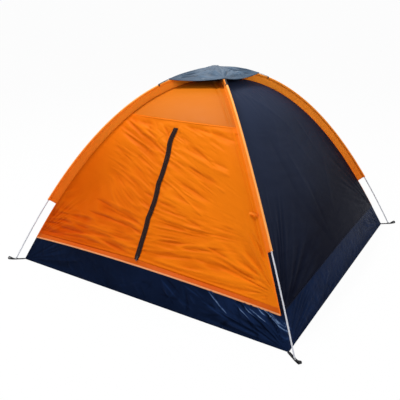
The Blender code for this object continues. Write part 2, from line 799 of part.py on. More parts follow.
def make_tab(name, frame, run, shift, reach):
    """The pull tab: a plate whose eye passes round the slider's bridge, hanging in reach."""
    across, along = frame[1], -reach
    height = across.cross(along)
    pivot = tab_pivot(frame, run, shift)
    half, bar, eye = TAB_WIDTH / 2, TAB / 2, BRIDGE_WIDTH / 2 + GAP
    outer = [(-half, bar), (half, bar), (half, -TAB_LENGTH), (-half, -TAB_LENGTH)]
    inner = [(-eye, -bar), (eye, -bar), (eye, -TAB_EYE), (-eye, -TAB_EYE)]
    points = []
    for level in (-TAB / 2, TAB / 2):
        points.extend(pivot + across * x + along * y + height * level for x, y in outer + inner)
    faces = []
    for k in range(4):
        after = (k + 1) % 4
        faces.append((k, after, 4 + after, 4 + k))
        faces.append((8 + k, 8 + after, 12 + after, 12 + k))
        faces.append((k, after, 8 + after, 8 + k))
        faces.append((4 + k, 4 + after, 12 + after, 12 + k))
    return add_mesh(name, points, faces, "zinc")


def make_door(front):
    """Both flaps with their zips, and the three sliders with their tabs."""
    door = Door(front)
    make_front(front, door)
    half = WALL_COLUMNS // 2
    for side, corner in (("left", front.left), ("right", front.right)):
        flap = Flap(door, corner)
        moving = make_flap(side, flap)
        columns = range(2, half + 1) if side == "left" else range(half, WALL_COLUMNS - 1)
        make_sill_tape(side, door, columns)
        hem = flap.hem_frame()
        slider = make_slider(f"hem_slider_{side}", hem, HEM_REST, SEAM_GAP)
        down = Vector((0, 0, -1))
        down = (down - flap.rise * down.dot(flap.rise)).normalized()
        tab = make_tab(f"hem_pull_{side}", hem, HEM_REST, SEAM_GAP, down)
        pivot, axis = flap.hinge()
        hinge = carry(f"axis_door_{side}", pivot, moving)
        hinge["axis"] = axis
        slide = carry(f"axis_hem_slider_{side}", flap.foot, [slider])
        slide["axis"] = flap.hem
        slide["travel"] = flap.hem_length - HEM_END - SLIDER_LENGTH - HEM_REST
        swing = carry(f"axis_hem_pull_{side}", tab_pivot(hem, HEM_REST, SEAM_GAP), [tab])
        swing["axis"] = flap.rise
        if side == "right":
            frame = flap.zip_frame()
            slider = make_slider("door_slider", frame, ZIP_REST, 0.0)
            tab = make_tab("door_pull", frame, ZIP_REST, 0.0, -flap.up)
            slide = carry("axis_door_slider", flap.foot, [slider])
            slide["axis"] = flap.up
            slide["travel"] = flap.zip_length - ZIP_END - SLIDER_LENGTH - ZIP_REST
            swing = carry("axis_door_pull", tab_pivot(frame, ZIP_REST, 0.0), [tab])
            swing["axis"] = flap.across


def ring_point(i, j, place, bend):
    """A point of a sheet that hangs from the poles, in rings round the crossing.

    i and j run from -1 to 1. place(name, m) is the ring's corner on a pole, and
    bend(out, m) is how far the middle of a ring's side leaves the straight line.
    """
    m = max(abs(i), abs(j))
    if m == 0:
        points = [place(name, 0.0) for name in CORNERS]
        return sum(points, Vector()) / len(points)
    if abs(j) >= abs(i):
        names = ("front_left", "front_right") if j < 0 else ("rear_left", "rear_right")
        w, out = i / m, Vector((0, math.copysign(1, j), 0))
    else:
        names = ("front_left", "rear_left") if i < 0 else ("front_right", "rear_right")
        w, out = j / m, Vector((math.copysign(1, i), 0, 0))
    start, end = (place(name, m) for name in names)
    return start.lerp(end, (w + 1) / 2) + bend(out, m) * (1 - w * w)


def make_net():
    """The roof vent: netting that closes the hole between the tops of the walls."""
    pitch = 2 / (NET_GAPS + NET_BAR_SHARE)
    stops = []
    for k in range(NET_GAPS + 1):
        stops += [-1 + k * pitch, -1 + (k + NET_BAR_SHARE) * pitch]

    def place(name, m):
        corner = CORNERS[name]
        return corner.ridge(corner.half - VENT_REACH * m)

    def bend(out, m):
        return out * (VENT_BULGE * m) - Vector((0, 0, VENT_DIP * m))

    shrink = 1 - NET_INSET / VENT_REACH
    points = [ring_point(i * shrink, j * shrink, place, bend) for j in stops for i in stops]
    count = len(stops)
    faces = []
    for b in range(count - 1):
        for a in range(count - 1):
            if a % 2 == 0 or b % 2 == 0:
                near = b * count + a
                faces.append((near, near + 1, near + count + 1, near + count))
    item = add_mesh("roof_net", points, faces, "black net")
    solid = item.modifiers.new("thickness", "SOLIDIFY")
    solid.thickness = NET
    solid.offset = 0.0


def cap_lift():
    """Cap cloth above a pole's axis, so that it lies on the sleeves."""
    return sleeve_radius() + CAP_SLACK + FABRIC / 2


def make_cap():
    """The rain cap: a square of cloth over the vent, tied to the poles at its corners."""
    def place(name, m):
        corner = CORNERS[name]
        point, _, outward = corner.at(corner.half - CAP_REACH[name] * m)
        lift = cap_lift()
        if corner.path is lower_pole:
            lift += CROSSING_LIFT * (1 - m)
        return point + outward * lift

    def bend(_, m):
        return Vector((0, 0, -CAP_DROOP * m))

    count = 2 * CAP_STEPS + 1
    shares = [k / CAP_STEPS - 1 for k in range(count)]
    grid = [[ring_point(i, j, place, bend) for i in shares] for j in shares]
    cap = fabric_shell("rain_cap", [grid], "slate nylon", folded=True)
    ties = [make_tie(name, corner) for name, corner in CORNERS.items()]
    pivot = Vector((0, 0, APEX_Z + CROSSING_LIFT + cap_lift()))
    carry("axis_cap", pivot, [cap] + ties)["axis"] = Vector((0, 0, 1))


def loft(rings):
    """Points and faces of a solid through outlines of the same count, capped at its ends."""
    count = len(rings[0])
    points = [p for ring in rings for p in ring]
    faces = [tuple(range(count)), tuple(range(len(points) - count, len(points)))]
    for i in range(len(rings) - 1):
        low = i * count
        for k in range(count):
            after = (k + 1) % count
            faces.append((low + k, low + after, low + count + after, low + count + k))
    return points, faces


def along_pole(corner, outline, start, end, climb=0.0):
    """An outline in (sideways, outward) sizes swept along a pole, climbing off it."""
    rings = []
    for run in corner.stations(start, end):
        centre, across, outward = corner.at(run)
        lift = climb * (run - start) / (end - start)
        rings.append([centre + across * x + outward * (h + lift) for x, h in outline])
    return loft(rings)


def make_tie(corner_name, corner):
    """A short webbing tie from a corner of the cap to the hook that grips the sleeve."""
    start = corner.half - CAP_REACH[corner_name]
    low = sleeve_radius() + GAP
    strap = [(-TIE_WIDTH / 2, low), (TIE_WIDTH / 2, low),
             (TIE_WIDTH / 2, low + TIE), (-TIE_WIDTH / 2, low + TIE)]
    climb = cap_lift() - low - TIE / 2
    points, faces = along_pole(corner, strap, start - TIE_LENGTH, start - 2 * GAP, climb)
    tie = add_mesh(f"cap_tie_{corner_name}", points, faces, "black webbing")
    inside, outside = low, low + HOOK_WALL
    hook = [(-outside, -HOOK_DEPTH), (-inside, -HOOK_DEPTH), (-inside, low), (inside, low),
            (inside, -HOOK_DEPTH), (outside, -HOOK_DEPTH), (outside, low + HOOK_WALL),
            (-outside, low + HOOK_WALL)]
    end = start - TIE_LENGTH
    points, faces = along_pole(corner, hook, end - HOOK_WIDTH / 2, end + HOOK_WIDTH / 2)
    boolean(tie, add_helper(f"hook_shape_{corner_name}", points, faces), "UNION")
    return tie


def ribbon(name, path, origin, along, across, width, thickness, material):
    """A band of webbing whose edge follows a path of (run, height) points."""
    left, right = [], []
    for i, (run, height) in enumerate(path):
        before, after = path[max(i - 1, 0)], path[min(i + 1, len(path) - 1)]
        into = (run - before[0], height - before[1])
        out = (after[0] - run, after[1] - height)
        units = [(x / math.hypot(x, z), z / math.hypot(x, z))
                 for x, z in (into, out) if math.hypot(x, z) > 0]
        x, z = (sum(values) / len(units) for values in zip(*units))
        stretch = 1 / (x * x + z * z)
        left.append((run - z * stretch * thickness / 2, height + x * stretch * thickness / 2))
        right.append((run + z * stretch * thickness / 2, height - x * stretch * thickness / 2))
    points = []
    for (a, b), (c, d) in zip(left, right):
        for run, height, side in ((a, b, 1), (c, d, 1), (c, d, -1), (a, b, -1)):
            points.append(origin + along * run + across * (side * width / 2)
                          + Vector((0, 0, height)))
    rings = [points[i:i + 4] for i in range(0, len(points), 4)]
    return add_mesh(name, *loft(rings), material)


def make_corner(corner_name, corner, floor_arc):
    """Webbing from the tub's corner to the pole's eyelet, folded back into a peg loop."""
    foot, _, outward = corner.at(0.0)
    along = Vector((outward.x, outward.y, 0)).normalized()
    across = Vector((-along.y, along.x, 0))
    lower, upper, _, top = eyelet_stack()
    lean = outward.z / math.hypot(outward.x, outward.y)
    centre = foot - along * (lean * top / 2)
    centre.z = 0.0
    low, high = lower + WEB / 2, upper + WEB / 2
    tub_corner = corner.ridge(floor_arc)
    start = (tub_corner - centre).dot(along) + GAP
    bend_x, bend_z = LOOP_REACH - LOOP_RADIUS, low + LOOP_RADIUS + 0.5 * LOOP_RADIUS
    path = [(start, low), (LAP, low), (bend_x - 2 * LOOP_RADIUS, low + 0.2 * LOOP_RADIUS)]
    path += [(bend_x + LOOP_RADIUS * math.sin(a), bend_z - LOOP_RADIUS * math.cos(a))
             for a in (math.pi * k / 6 for k in range(7))]
    path += [(LAP + LOOP_RADIUS, high + 0.35 * LOOP_RADIUS), (LAP, high), (-LAP, high)]
    strap = ribbon(f"corner_strap_{corner_name}", path, centre, along, across,
                   WEB_WIDTH, WEB, "black webbing")
    barrel = EYELET_BORE / 2 + EYELET_WALL
    hole = barrel + GAP
    rings = [[centre + Vector((math.cos(a) * hole, math.sin(a) * hole, z))
              for a in (2 * math.pi * k / ROUND_SIDES for k in range(ROUND_SIDES))]
             for z in (0.0, 2 * top)]
    boolean(strap, add_helper(f"eyelet_hole_{corner_name}", *loft(rings)), "DIFFERENCE")
    bore, flange = EYELET_BORE / 2, EYELET_FLANGE_D / 2
    profile = [(bore, 0.0), (flange, 0.0), (flange, EYELET_FLANGE), (barrel, EYELET_FLANGE),
               (barrel, top - EYELET_FLANGE), (flange, top - EYELET_FLANGE), (flange, top),
               (bore, top)]
    turned(f"eyelet_{corner_name}", profile, centre, ROUND_SIDES, "zinc")


clear_scene()
MATERIALS = make_materials()

CROSSING_LIFT = POLE_D + GAP
lower_pole = PolePath(1, APEX_Z)
upper_pole = PolePath(-1, APEX_Z + CROSSING_LIFT)
CORNERS = {
    "front_left": Corner(lower_pole, True),
    "front_right": Corner(upper_pole, True),
    "rear_right": Corner(lower_pole, False),
    "rear_left": Corner(upper_pole, False),
}
front_wall = Wall(CORNERS["front_left"], CORNERS["front_right"], (0, -1, 0), *TUB_FRONT)
right_wall = Wall(CORNERS["front_right"], CORNERS["rear_right"], (1, 0, 0), *TUB_SIDE)
rear_wall = Wall(CORNERS["rear_right"], CORNERS["rear_left"], (0, 1, 0), *TUB_FRONT)
left_wall = Wall(CORNERS["rear_left"], CORNERS["front_left"], (-1, 0, 0), *TUB_SIDE)
WALLS = (front_wall, right_wall, rear_wall, left_wall)
for place, wall in enumerate(WALLS):
    wall.before = WALLS[place - 1]

make_tub(WALLS)
make_wall("right_wall", right_wall, "navy nylon")
make_wall("left_wall", left_wall, "navy nylon")
make_wall("rear_wall", rear_wall, "orange nylon")
make_door(front_wall)
make_net()
make_cap()
make_pole("lower_pole", lower_pole)
make_pole("upper_pole", upper_pole)
for corner_name, corner in CORNERS.items():
    make_sleeve(corner_name, corner)
    make_tip(corner_name, corner)
    make_corner(corner_name, corner, front_wall.floor_arc)
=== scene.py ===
import math

import bmesh
import bpy
import numpy as np
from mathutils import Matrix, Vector


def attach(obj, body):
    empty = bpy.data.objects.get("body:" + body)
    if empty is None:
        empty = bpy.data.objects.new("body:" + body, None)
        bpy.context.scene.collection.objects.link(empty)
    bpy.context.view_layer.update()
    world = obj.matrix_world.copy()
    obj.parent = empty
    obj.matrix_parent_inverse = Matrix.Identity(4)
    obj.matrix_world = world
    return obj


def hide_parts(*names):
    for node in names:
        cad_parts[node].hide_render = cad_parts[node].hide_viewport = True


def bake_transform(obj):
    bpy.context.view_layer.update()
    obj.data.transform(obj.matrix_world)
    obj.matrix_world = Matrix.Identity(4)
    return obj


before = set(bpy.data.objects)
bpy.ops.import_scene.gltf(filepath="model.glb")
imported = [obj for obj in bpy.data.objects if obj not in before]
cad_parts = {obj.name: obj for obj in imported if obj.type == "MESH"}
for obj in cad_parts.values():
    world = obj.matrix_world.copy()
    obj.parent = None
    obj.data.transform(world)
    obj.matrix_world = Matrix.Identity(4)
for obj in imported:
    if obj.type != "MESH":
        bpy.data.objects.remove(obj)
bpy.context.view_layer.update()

# Camera. The photograph looks at the door from the front right, from a person's eye
# height, so that the front, the right wall and the top of the rain cap show.
lens = bpy.data.cameras.new("camera")
lens.lens = 47.49
lens.sensor_width = 36.0
camera = bpy.data.objects.new("camera", lens)
camera.location = (1.778, -3.123, 1.739)
camera.rotation_euler = (math.pi / 2 - 0.375, 0.0, 0.55)
bpy.context.scene.collection.objects.link(camera)
bpy.context.scene.camera = camera
bpy.context.scene.view_settings.view_transform = "Standard"


# Studio. A pale floor under a white sky, a soft lamp high over the door, weaker ones in
# front, at the right and behind, and the even light of the sky, at a level at which each
# cloth shows its own colour.
def node(tree, kind, links=(), stops=(), **settings):
    """Adds a node with its settings. Each link is a socket and a value or an output, and
    each stop of a colour ramp is a place and a hex code."""
    made = tree.nodes.new(kind)
    for name, value in settings.items():
        setattr(made, name, value)
    for socket, value in dict(links).items():
        if isinstance(value, bpy.types.NodeSocket):
            tree.links.new(value, made.inputs[socket])
        else:
            made.inputs[socket].default_value = value
    for number, (place, code) in enumerate(stops):
        made.color_ramp.elements[number].position = place
        made.color_ramp.elements[number].color = linear(code)
    return made


def bare_tree(owner):
    """The node tree of a new material or world, emptied."""
    owner.use_nodes = True
    owner.node_tree.nodes.clear()
    return owner.node_tree


def linear(code):
    """A colour written as a screen's hex code, as the shader's linear values."""
    parts = [int(code[i:i + 2], 16) / 255 for i in (1, 3, 5)]
    parts = [c / 12.92 if c <= 0.04045 else ((c + 0.055) / 1.055) ** 2.4 for c in parts]
    return (*parts, 1.0)


sky = bpy.data.worlds.new("sky")
bpy.context.scene.world = sky
tree = bare_tree(sky)
rays = node(tree, "ShaderNodeLightPath")
seen = node(tree, "ShaderNodeMath", {0: rays.outputs["Is Camera Ray"],
            1: rays.outputs["Is Glossy Ray"]}, operation="MAXIMUM")
seen = node(tree, "ShaderNodeMath", {0: seen.outputs[0],
            1: rays.outputs["Is Transmission Ray"]}, operation="MAXIMUM")
even = node(tree, "ShaderNodeBackground", {"Color": linear("#EEF2FF"), "Strength": 0.33})
white = node(tree, "ShaderNodeBackground", {"Color": (1.0, 1.0, 1.0, 1.0), "Strength": 1.0})
mixed = node(tree, "ShaderNodeMixShader", {0: seen.outputs[0], 1: even.outputs[0],
             2: white.outputs[0]})
node(tree, "ShaderNodeOutputWorld", {"Surface": mixed.outputs[0]})

for name, place, size, power in (("front_lamp", (-1.7, -1.1, 4.9), 1.2, 188.0),
                                 ("fill_lamp", (-0.4, -5.4, 1.3), 2.4, 20.0),
                                 ("right_lamp", (4.4, -1.4, 3.0), 1.6, 75.0),
                                 ("rear_lamp", (-1.2, 2.2, 4.6), 2.2, 55.0)):
    light = bpy.data.lights.new(name, "AREA")
    light.size = size
    light.energy = power
    lamp = bpy.data.objects.new(name, light)
    lamp.location = place
    aim = Vector((0.0, 0.0, 0.4)) - lamp.location
    lamp.rotation_euler = aim.to_track_quat("-Z", "Y").to_euler()
    bpy.context.scene.collection.objects.link(lamp)

FLOOR_REACH, FLOOR_DROP, FLOOR_GLOW = 300, -0.001, 0.965
paper = bpy.data.materials.new("pale_floor")
tree = bare_tree(paper)
rays = node(tree, "ShaderNodeLightPath")
glow = node(tree, "ShaderNodeMath", {0: rays.outputs["Is Camera Ray"], 1: FLOOR_GLOW},
            operation="MULTIPLY")
matt = node(tree, "ShaderNodeBsdfDiffuse", {"Color": linear("#F2F2F2")})
bright = node(tree, "ShaderNodeEmission", {"Color": (1.0, 1.0, 1.0, 1.0), "Strength": 1.0})
mixed = node(tree, "ShaderNodeMixShader", {0: glow.outputs[0], 1: matt.outputs[0],
             2: bright.outputs[0]})
node(tree, "ShaderNodeOutputMaterial", {"Surface": mixed.outputs[0]})
mesh = bpy.data.meshes.new("floor")
mesh.from_pydata([(x * FLOOR_REACH, y * FLOOR_REACH, FLOOR_DROP)
                  for x, y in ((-1, -1), (1, -1), (1, 1), (-1, 1))], [], [(0, 1, 2, 3)])
mesh.materials.append(paper)
floor = bpy.data.objects.new("floor", mesh)
bpy.context.scene.collection.objects.link(floor)


# Poles. Two shock-corded poles cross at the top of the tent. Each has seven sections of
# pultruded fibreglass, white with a smooth satin skin, that plug into a crimped steel
# ferrule on the end of the section before.
FOOT_X, FOOT_Y, APEX_Z = 1.040, 0.995, 1.259
POLE_BOW, RISE_POWER, FOOT_POWER = 0.059, 2.142, 1.03
POLE_R, POLE_WALL, GAP = 0.00425, 0.0018, 0.0003
CROSSING_LIFT = 2 * POLE_R + GAP
SLEEVE_DROP = 0.054
UP = np.array((0.0, 0.0, 1.0))


def unit(vectors):
    """Directions of length 1."""
    return vectors / np.linalg.norm(vectors, axis=-1, keepdims=True)


class Pole:
    """A pole's bent line, with its sideways and outward directions, by the run along it."""

    def __init__(self, side, apex):
        u = np.linspace(-1.0, 1.0, 2401)
        spread = math.hypot(FOOT_X, FOOT_Y)
        bow = POLE_BOW * np.sin(np.pi * u)
        rise = np.maximum(0.0, 1.0 - np.abs(u) ** RISE_POWER) ** FOOT_POWER
        self.line = np.stack((side * (FOOT_X * u - bow * FOOT_Y / spread),
                              FOOT_Y * u + bow * FOOT_X / spread, apex * rise), axis=1)
        steps = np.linalg.norm(np.diff(self.line, axis=0), axis=1)
        self.runs = np.concatenate(([0.0], np.cumsum(steps)))
        self.length = self.runs[-1]
        tangent = np.gradient(self.line, self.runs, axis=0)
        self.sideways = unit(np.cross(tangent, UP))
        self.outward = unit(np.cross(self.sideways, tangent))

    def at(self, runs):
        """Points, sideways and outward directions at runs from the pole's first foot."""
        return [np.stack([np.interp(runs, self.runs, values[:, k]) for k in range(3)], axis=-1)
                for values in (self.line, self.sideways, self.outward)]


class Corner:
    """One corner of the tent: runs are measured up the pole from its foot."""

    def __init__(self, pole, from_start):
        self.pole, self.from_start = pole, from_start
        self.half = pole.length / 2

    def at(self, runs):
        """Points, sideways and outward directions at runs from this corner's foot."""
        runs = np.asarray(runs, dtype=float)
        return self.pole.at(runs if self.from_start else self.pole.length - runs)

    def ridge(self, runs):
        """The seam where the walls meet the pole sleeve, which hangs below the pole."""
        point, _, outward = self.at(runs)
        return point - outward * SLEEVE_DROP

    def run_at_height(self, height):
        """The run at which the ridge seam is so high above the ground."""
        runs = np.linspace(0.0, self.half, 2000)
        return float(np.interp(height, self.ridge(runs)[:, 2], runs))


lower_pole = Pole(1, APEX_Z)
upper_pole = Pole(-1, APEX_Z + CROSSING_LIFT)
corners = {
    "front_left": Corner(lower_pole, True),
    "front_right": Corner(upper_pole, True),
    "rear_right": Corner(lower_pole, False),
    "rear_left": Corner(upper_pole, False),
}


WELD = 0.00002


def add_piece(name, points, faces, material, body="shell", uv=None, sharp=40.0,
              pull=None):
    """A mesh piece that rides on a body, or on none where it will bend between two. uv holds
    a flat place in metres for each point, and pull how far a crease lifts it."""
    mesh = bpy.data.meshes.new(name)
    mesh.from_pydata([tuple(p) for p in points], [], [tuple(f) for f in faces])
    if uv is not None:
        layer = mesh.uv_layers.new(name="UVMap")
        index = np.empty(len(mesh.loops), dtype=np.int32)
        mesh.loops.foreach_get("vertex_index", index)
        layer.data.foreach_set("uv", np.asarray(uv, dtype=np.float32)[index].ravel())
    if pull is not None:
        layer = mesh.attributes.new("pull", "FLOAT", "POINT")
        layer.data.foreach_set("value", np.asarray(pull, dtype=np.float32))
    shape = bmesh.new()
    shape.from_mesh(mesh)
    bmesh.ops.remove_doubles(shape, verts=shape.verts, dist=WELD)
    bmesh.ops.recalc_face_normals(shape, faces=shape.faces)
    shape.to_mesh(mesh)
    shape.free()
    mesh.shade_smooth()
    mesh.set_sharp_from_angle(angle=math.radians(sharp))
    mesh.materials.append(material)
    piece = bpy.data.objects.new(name, mesh)
    bpy.context.scene.collection.objects.link(piece)
    if body:
        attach(piece, body)
    return piece


def tube_along(corner, profile, sides):
    """Points, faces and UV of a round piece: profile holds (run, radius) pairs, closed."""
    runs = np.array([run for run, _ in profile])
    radii = np.array([radius for _, radius in profile])
    centre, across, outward = corner.at(runs)
    turn = 2 * math.pi * np.arange(sides) / sides
    ring = (np.cos(turn)[None, :, None] * across[:, None] +
            np.sin(turn)[None, :, None] * outward[:, None])
    points = (centre[:, None] + ring * radii[:, None, None]).reshape(-1, 3)
    uv = np.stack(np.meshgrid(turn * POLE_R, runs), axis=-1).reshape(-1, 2)
    faces = []
    for i in range(len(profile)):
        near, far = i * sides, (i + 1) % len(profile) * sides
        for k in range(sides):
            after = (k + 1) % sides
            faces.append((near + k, near + after, far + after, far + k))
    return points, faces, uv


# Fibreglass rod: long glass fibres under a clear resin skin, so the white is faintly
# streaked along the pole and the gloss is broken by fine lines.
fibreglass = bpy.data.materials.new("pultruded_fibreglass")
tree = bare_tree(fibreglass)
place = node(tree, "ShaderNodeTexCoord")
fine = node(tree, "ShaderNodeMapping", {"Vector": place.outputs["UV"],
            "Scale": (900.0, 9.0, 1.0)})
streak = node(tree, "ShaderNodeTexNoise", {"Vector": fine.outputs[0], "Scale": 1.0,
              "Detail": 3.0})
tone = node(tree, "ShaderNodeValToRGB", {"Fac": streak.outputs["Fac"]},
            stops=((0.3, "#B9BABF"), (0.7, "#DEDFE4")))
lines = node(tree, "ShaderNodeBump", {"Height": streak.outputs["Fac"], "Distance": 0.00004,
             "Strength": 0.6})
skin = node(tree, "ShaderNodeBsdfPrincipled", {"Base Color": tone.outputs[0],
            "Roughness": 0.34, "IOR": 1.52, "Normal": lines.outputs[0]})
node(tree, "ShaderNodeOutputMaterial", {"Surface": skin.outputs[0]})

# Ferrules, eyelets, pole tips and zip sliders: plated steel and die-cast zinc with a
# brushed, slightly scuffed grey shine.
zinc = bpy.data.materials.new("plated_zinc")
tree = bare_tree(zinc)
place = node(tree, "ShaderNodeTexCoord")
scuffs = node(tree, "ShaderNodeTexNoise", {"Vector": place.outputs["Object"], "Scale": 420.0,
              "Detail": 4.0, "Roughness": 0.65})
tone = node(tree, "ShaderNodeValToRGB", {"Fac": scuffs.outputs["Fac"]},
            stops=((0.3, "#8E9094"), (0.7, "#C9CACD")))
dull = node(tree, "ShaderNodeMapRange", {"Value": scuffs.outputs["Fac"], "To Min": 0.24,
            "To Max": 0.46})
dents = node(tree, "ShaderNodeBump", {"Height": scuffs.outputs["Fac"], "Distance": 0.00003,
             "Strength": 0.5})
skin = node(tree, "ShaderNodeBsdfPrincipled", {"Base Color": tone.outputs[0],
            "Metallic": 1.0, "Roughness": dull.outputs[0], "Normal": dents.outputs[0]})
node(tree, "ShaderNodeOutputMaterial", {"Surface": skin.outputs[0]})

SECTION_COUNT, TUBE_SIDES, CHAMFER = 7, 16, 0.0006
TIP_REACH, FERRULE_REACH, FERRULE_WALL = 0.016, 0.035, 0.0007
# Two crimps grip the ferrule on its tube: run from the tube's end and depth of each ring.
CRIMPS = ((-FERRULE_REACH + 0.0004, 0.0004), (-0.0335, 0.0), (-0.030, 0.0), (-0.0288, 0.0004),
          (-0.0276, 0.0), (0.006, 0.0), (0.029, 0.0), (FERRULE_REACH - 0.0012, 0.0),
          (FERRULE_REACH, 0.0004))
for name, pole in (("lower_pole", lower_pole), ("upper_pole", upper_pole)):
    whole = Corner(pole, True)
    section = (pole.length - 2 * TIP_REACH) / SECTION_COUNT
    bore, socket, collar = POLE_R - POLE_WALL, POLE_R + GAP, POLE_R + GAP + FERRULE_WALL
    for number in range(SECTION_COUNT):
        start = TIP_REACH + number * section + (GAP if number else 0.0)
        end = TIP_REACH + (number + 1) * section
        if number < SECTION_COUNT - 1:
            profile = [(run, POLE_R) for run in np.linspace(start, end - FERRULE_REACH, 22)]
            profile += [(end + run, collar - depth) for run, depth in CRIMPS]
            profile += [(end + FERRULE_REACH, socket), (end, socket)]
        else:
            profile = [(run, POLE_R) for run in np.linspace(start, end - CHAMFER, 24)]
            profile += [(end, POLE_R - CHAMFER)]
        profile += [(run, bore) for run in np.linspace(end, start, 24)]
        points, faces, uv = tube_along(whole, profile, TUBE_SIDES)
        rod = add_piece(f"{name}_rod_{number + 1}", points, faces, fibreglass, uv=uv)
        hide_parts(f"{name}_section_{number + 1}")
        if number < SECTION_COUNT - 1:
            rod.data.materials.append(zinc)
            low, high = pole.at(np.array([end - FERRULE_REACH, end + FERRULE_REACH]))[0]
            axis = high - low
            for face in rod.data.polygons:
                share = (np.array(face.center) - low).dot(axis) / axis.dot(axis)
                off_axis = np.linalg.norm(np.array(face.center) - low - axis * share)
                if -0.001 < share < 1.001 and off_axis > POLE_R + GAP + 0.0001:
                    face.material_index = 1


# Tub floor. One sheet of coated polyester: the floor lies on the ground and its edge is
# turned up all round and sewn to the walls. The coating makes it stiff and shiny, so it
# is crumpled all over and creased hard where the corners pull on it.
TUB_CORNER_HEIGHT = 0.165
TUB_FRONT = (FOOT_Y - 0.030, 0.235)
TUB_SIDE = (FOOT_X - 0.090, 0.250)
SEAM_HEIGHT, VENT_REACH, VENT_HEM = 1.000, 0.175, 0.055
WALL_BULGE, WALL_LIFT, VENT_BULGE, VENT_DIP = 0.028, 0.004, 0.006, 0.004
LIGHT_CLOTH, STOUT_CLOTH = 0.0007, 0.0009


def ramp(values, start, end):
    """0 before start and 1 after end, with soft ends."""
    share = np.clip((values - start) / (end - start), 0.0, 1.0)
    return share * share * (3 - 2 * share)


class Wall:
    """The curved sheet between two neighbouring ridges, by the run up them. out is the way
    it faces, and tub holds how far out and how high its middle meets the tub."""

    def __init__(self, left, right, out, tub, seamed=False):
        self.left, self.right, self.out = left, right, np.array(out, dtype=float)
        self.seamed = seamed
        self.floor_run = left.run_at_height(0.0)
        self.tub_run = left.run_at_height(TUB_CORNER_HEIGHT)
        self.seam_run = left.run_at_height(SEAM_HEIGHT)
        self.vent_run = left.half - VENT_REACH
        self.tub_middle = self.out * tub[0] + (0.0, 0.0, tub[1])
        self.seam_middle = self.chord(self.seam_run) + self.out * WALL_BULGE
        self.seam_middle[2] += WALL_LIFT

    def chord(self, runs):
        """Halfway between the two ridges."""
        return (self.left.ridge(runs) + self.right.ridge(runs)) / 2

    def middle(self, runs):
        """The wall's centre line. A wall of one panel turns over softly near the top."""
        runs = np.atleast_1d(np.asarray(runs, dtype=float))
        sharp = self.middle_of_two(runs)
        if self.seamed:
            return sharp
        soft = np.mean([self.middle_of_two(runs + step)
                        for step in np.linspace(-0.11, 0.11, 15)], axis=0)
        near = 1 - ramp(np.abs(runs - self.seam_run), 0.05, 0.16)[:, None]
        return sharp + (soft - sharp) * near

    def middle_of_two(self, runs):
        """The centre line of two panels: straight to the seam, then over to the vent."""
        chord = self.chord(runs)
        low, high = self.chord(self.tub_run)[2], self.chord(self.seam_run)[2]
        share = ((chord[:, 2] - low) / (high - low))[:, None]
        straight = self.tub_middle * (1 - share) + self.seam_middle * share
        over = ((runs - self.seam_run) / (self.vent_run - self.seam_run))[:, None]
        bulge = WALL_BULGE + (VENT_BULGE - WALL_BULGE) * over
        lift = WALL_LIFT + (-VENT_DIP - WALL_LIFT) * over
        curved = chord + self.out * bulge + UP * lift
        return np.where(share <= 1.0, straight, curved)

    def surface(self, runs, shares):
        """Points at every run up the ridges and every share across, 0 left to 1 right."""
        runs = np.atleast_1d(np.asarray(runs, dtype=float))
        left, right = self.left.ridge(runs)[:, None], self.right.ridge(runs)[:, None]
        u = np.asarray(shares, dtype=float)[None, :, None]
        bend = self.middle(runs)[:, None] - (left + right) / 2
        return left * (1 - u) + right * u + bend * (4 * u * (1 - u))


front_wall = Wall(corners["front_left"], corners["front_right"], (0, -1, 0), TUB_FRONT,
                  seamed=True)
right_wall = Wall(corners["front_right"], corners["rear_right"], (1, 0, 0), TUB_SIDE)
rear_wall = Wall(corners["rear_right"], corners["rear_left"], (0, 1, 0), TUB_FRONT)
left_wall = Wall(corners["rear_left"], corners["front_left"], (-1, 0, 0), TUB_SIDE)


def crease(x, y, start, end, width, height):
    """A pulled crease in cloth: a soft ridge from start to end that dies out at both."""
    dx, dy = end[0] - start[0], end[1] - start[1]
    length = math.hypot(dx, dy)
    along = ((x - start[0]) * dx + (y - start[1]) * dy) / length ** 2
    off = ((x - start[0]) * dy - (y - start[1]) * dx) / length
    fade = np.sin(np.pi * np.clip(along, 0.0, 1.0)) ** 0.8
    spread = off / (width * (0.5 + 0.5 * fade))
    return height * fade * np.exp(0.3 - np.sqrt(spread ** 2 + 0.09))


def crumple(x, y, low, high, heading, spread, count, length, width, height, seed):
    """Scattered creases inside a rectangle, headed one way more or less."""
    random = np.random.default_rng(seed)
    relief = np.zeros_like(x)
    for _ in range(count):
        middle = random.uniform(low[0], high[0]), random.uniform(low[1], high[1])
        turn = math.radians(random.normal(heading, spread))
        reach = length * random.uniform(0.5, 1.5) / 2
        step = (reach * math.cos(turn), reach * math.sin(turn))
        relief += crease(x, y, (middle[0] - step[0], middle[1] - step[1]),
                         (middle[0] + step[0], middle[1] + step[1]),
                         width * random.uniform(0.6, 1.5),
                         height * random.uniform(0.4, 1.2) * random.choice((-1, 1)))
    return relief


def wrinkle(across, along, pitch, length, seed):
    """Close wrinkles with sharp crests, from -1 to 1: they lie pitch apart across the pull
    and come and go over a length along it."""
    table = np.random.default_rng(seed).uniform(-1.0, 1.0, (64, 64))
    u, v = across / pitch, along / length
    i, j = np.floor(u).astype(int), np.floor(v).astype(int)
    f, g = (t * t * (3 - 2 * t) for t in (u - i, v - j))
    near = table[i % 64, j % 64] * (1 - f) + table[(i + 1) % 64, j % 64] * f
    far = table[i % 64, (j + 1) % 64] * (1 - f) + table[(i + 1) % 64, (j + 1) % 64] * f
    return np.clip(1 - 2.2 * np.abs(near * (1 - g) + far * g), -1.0, 1.0)


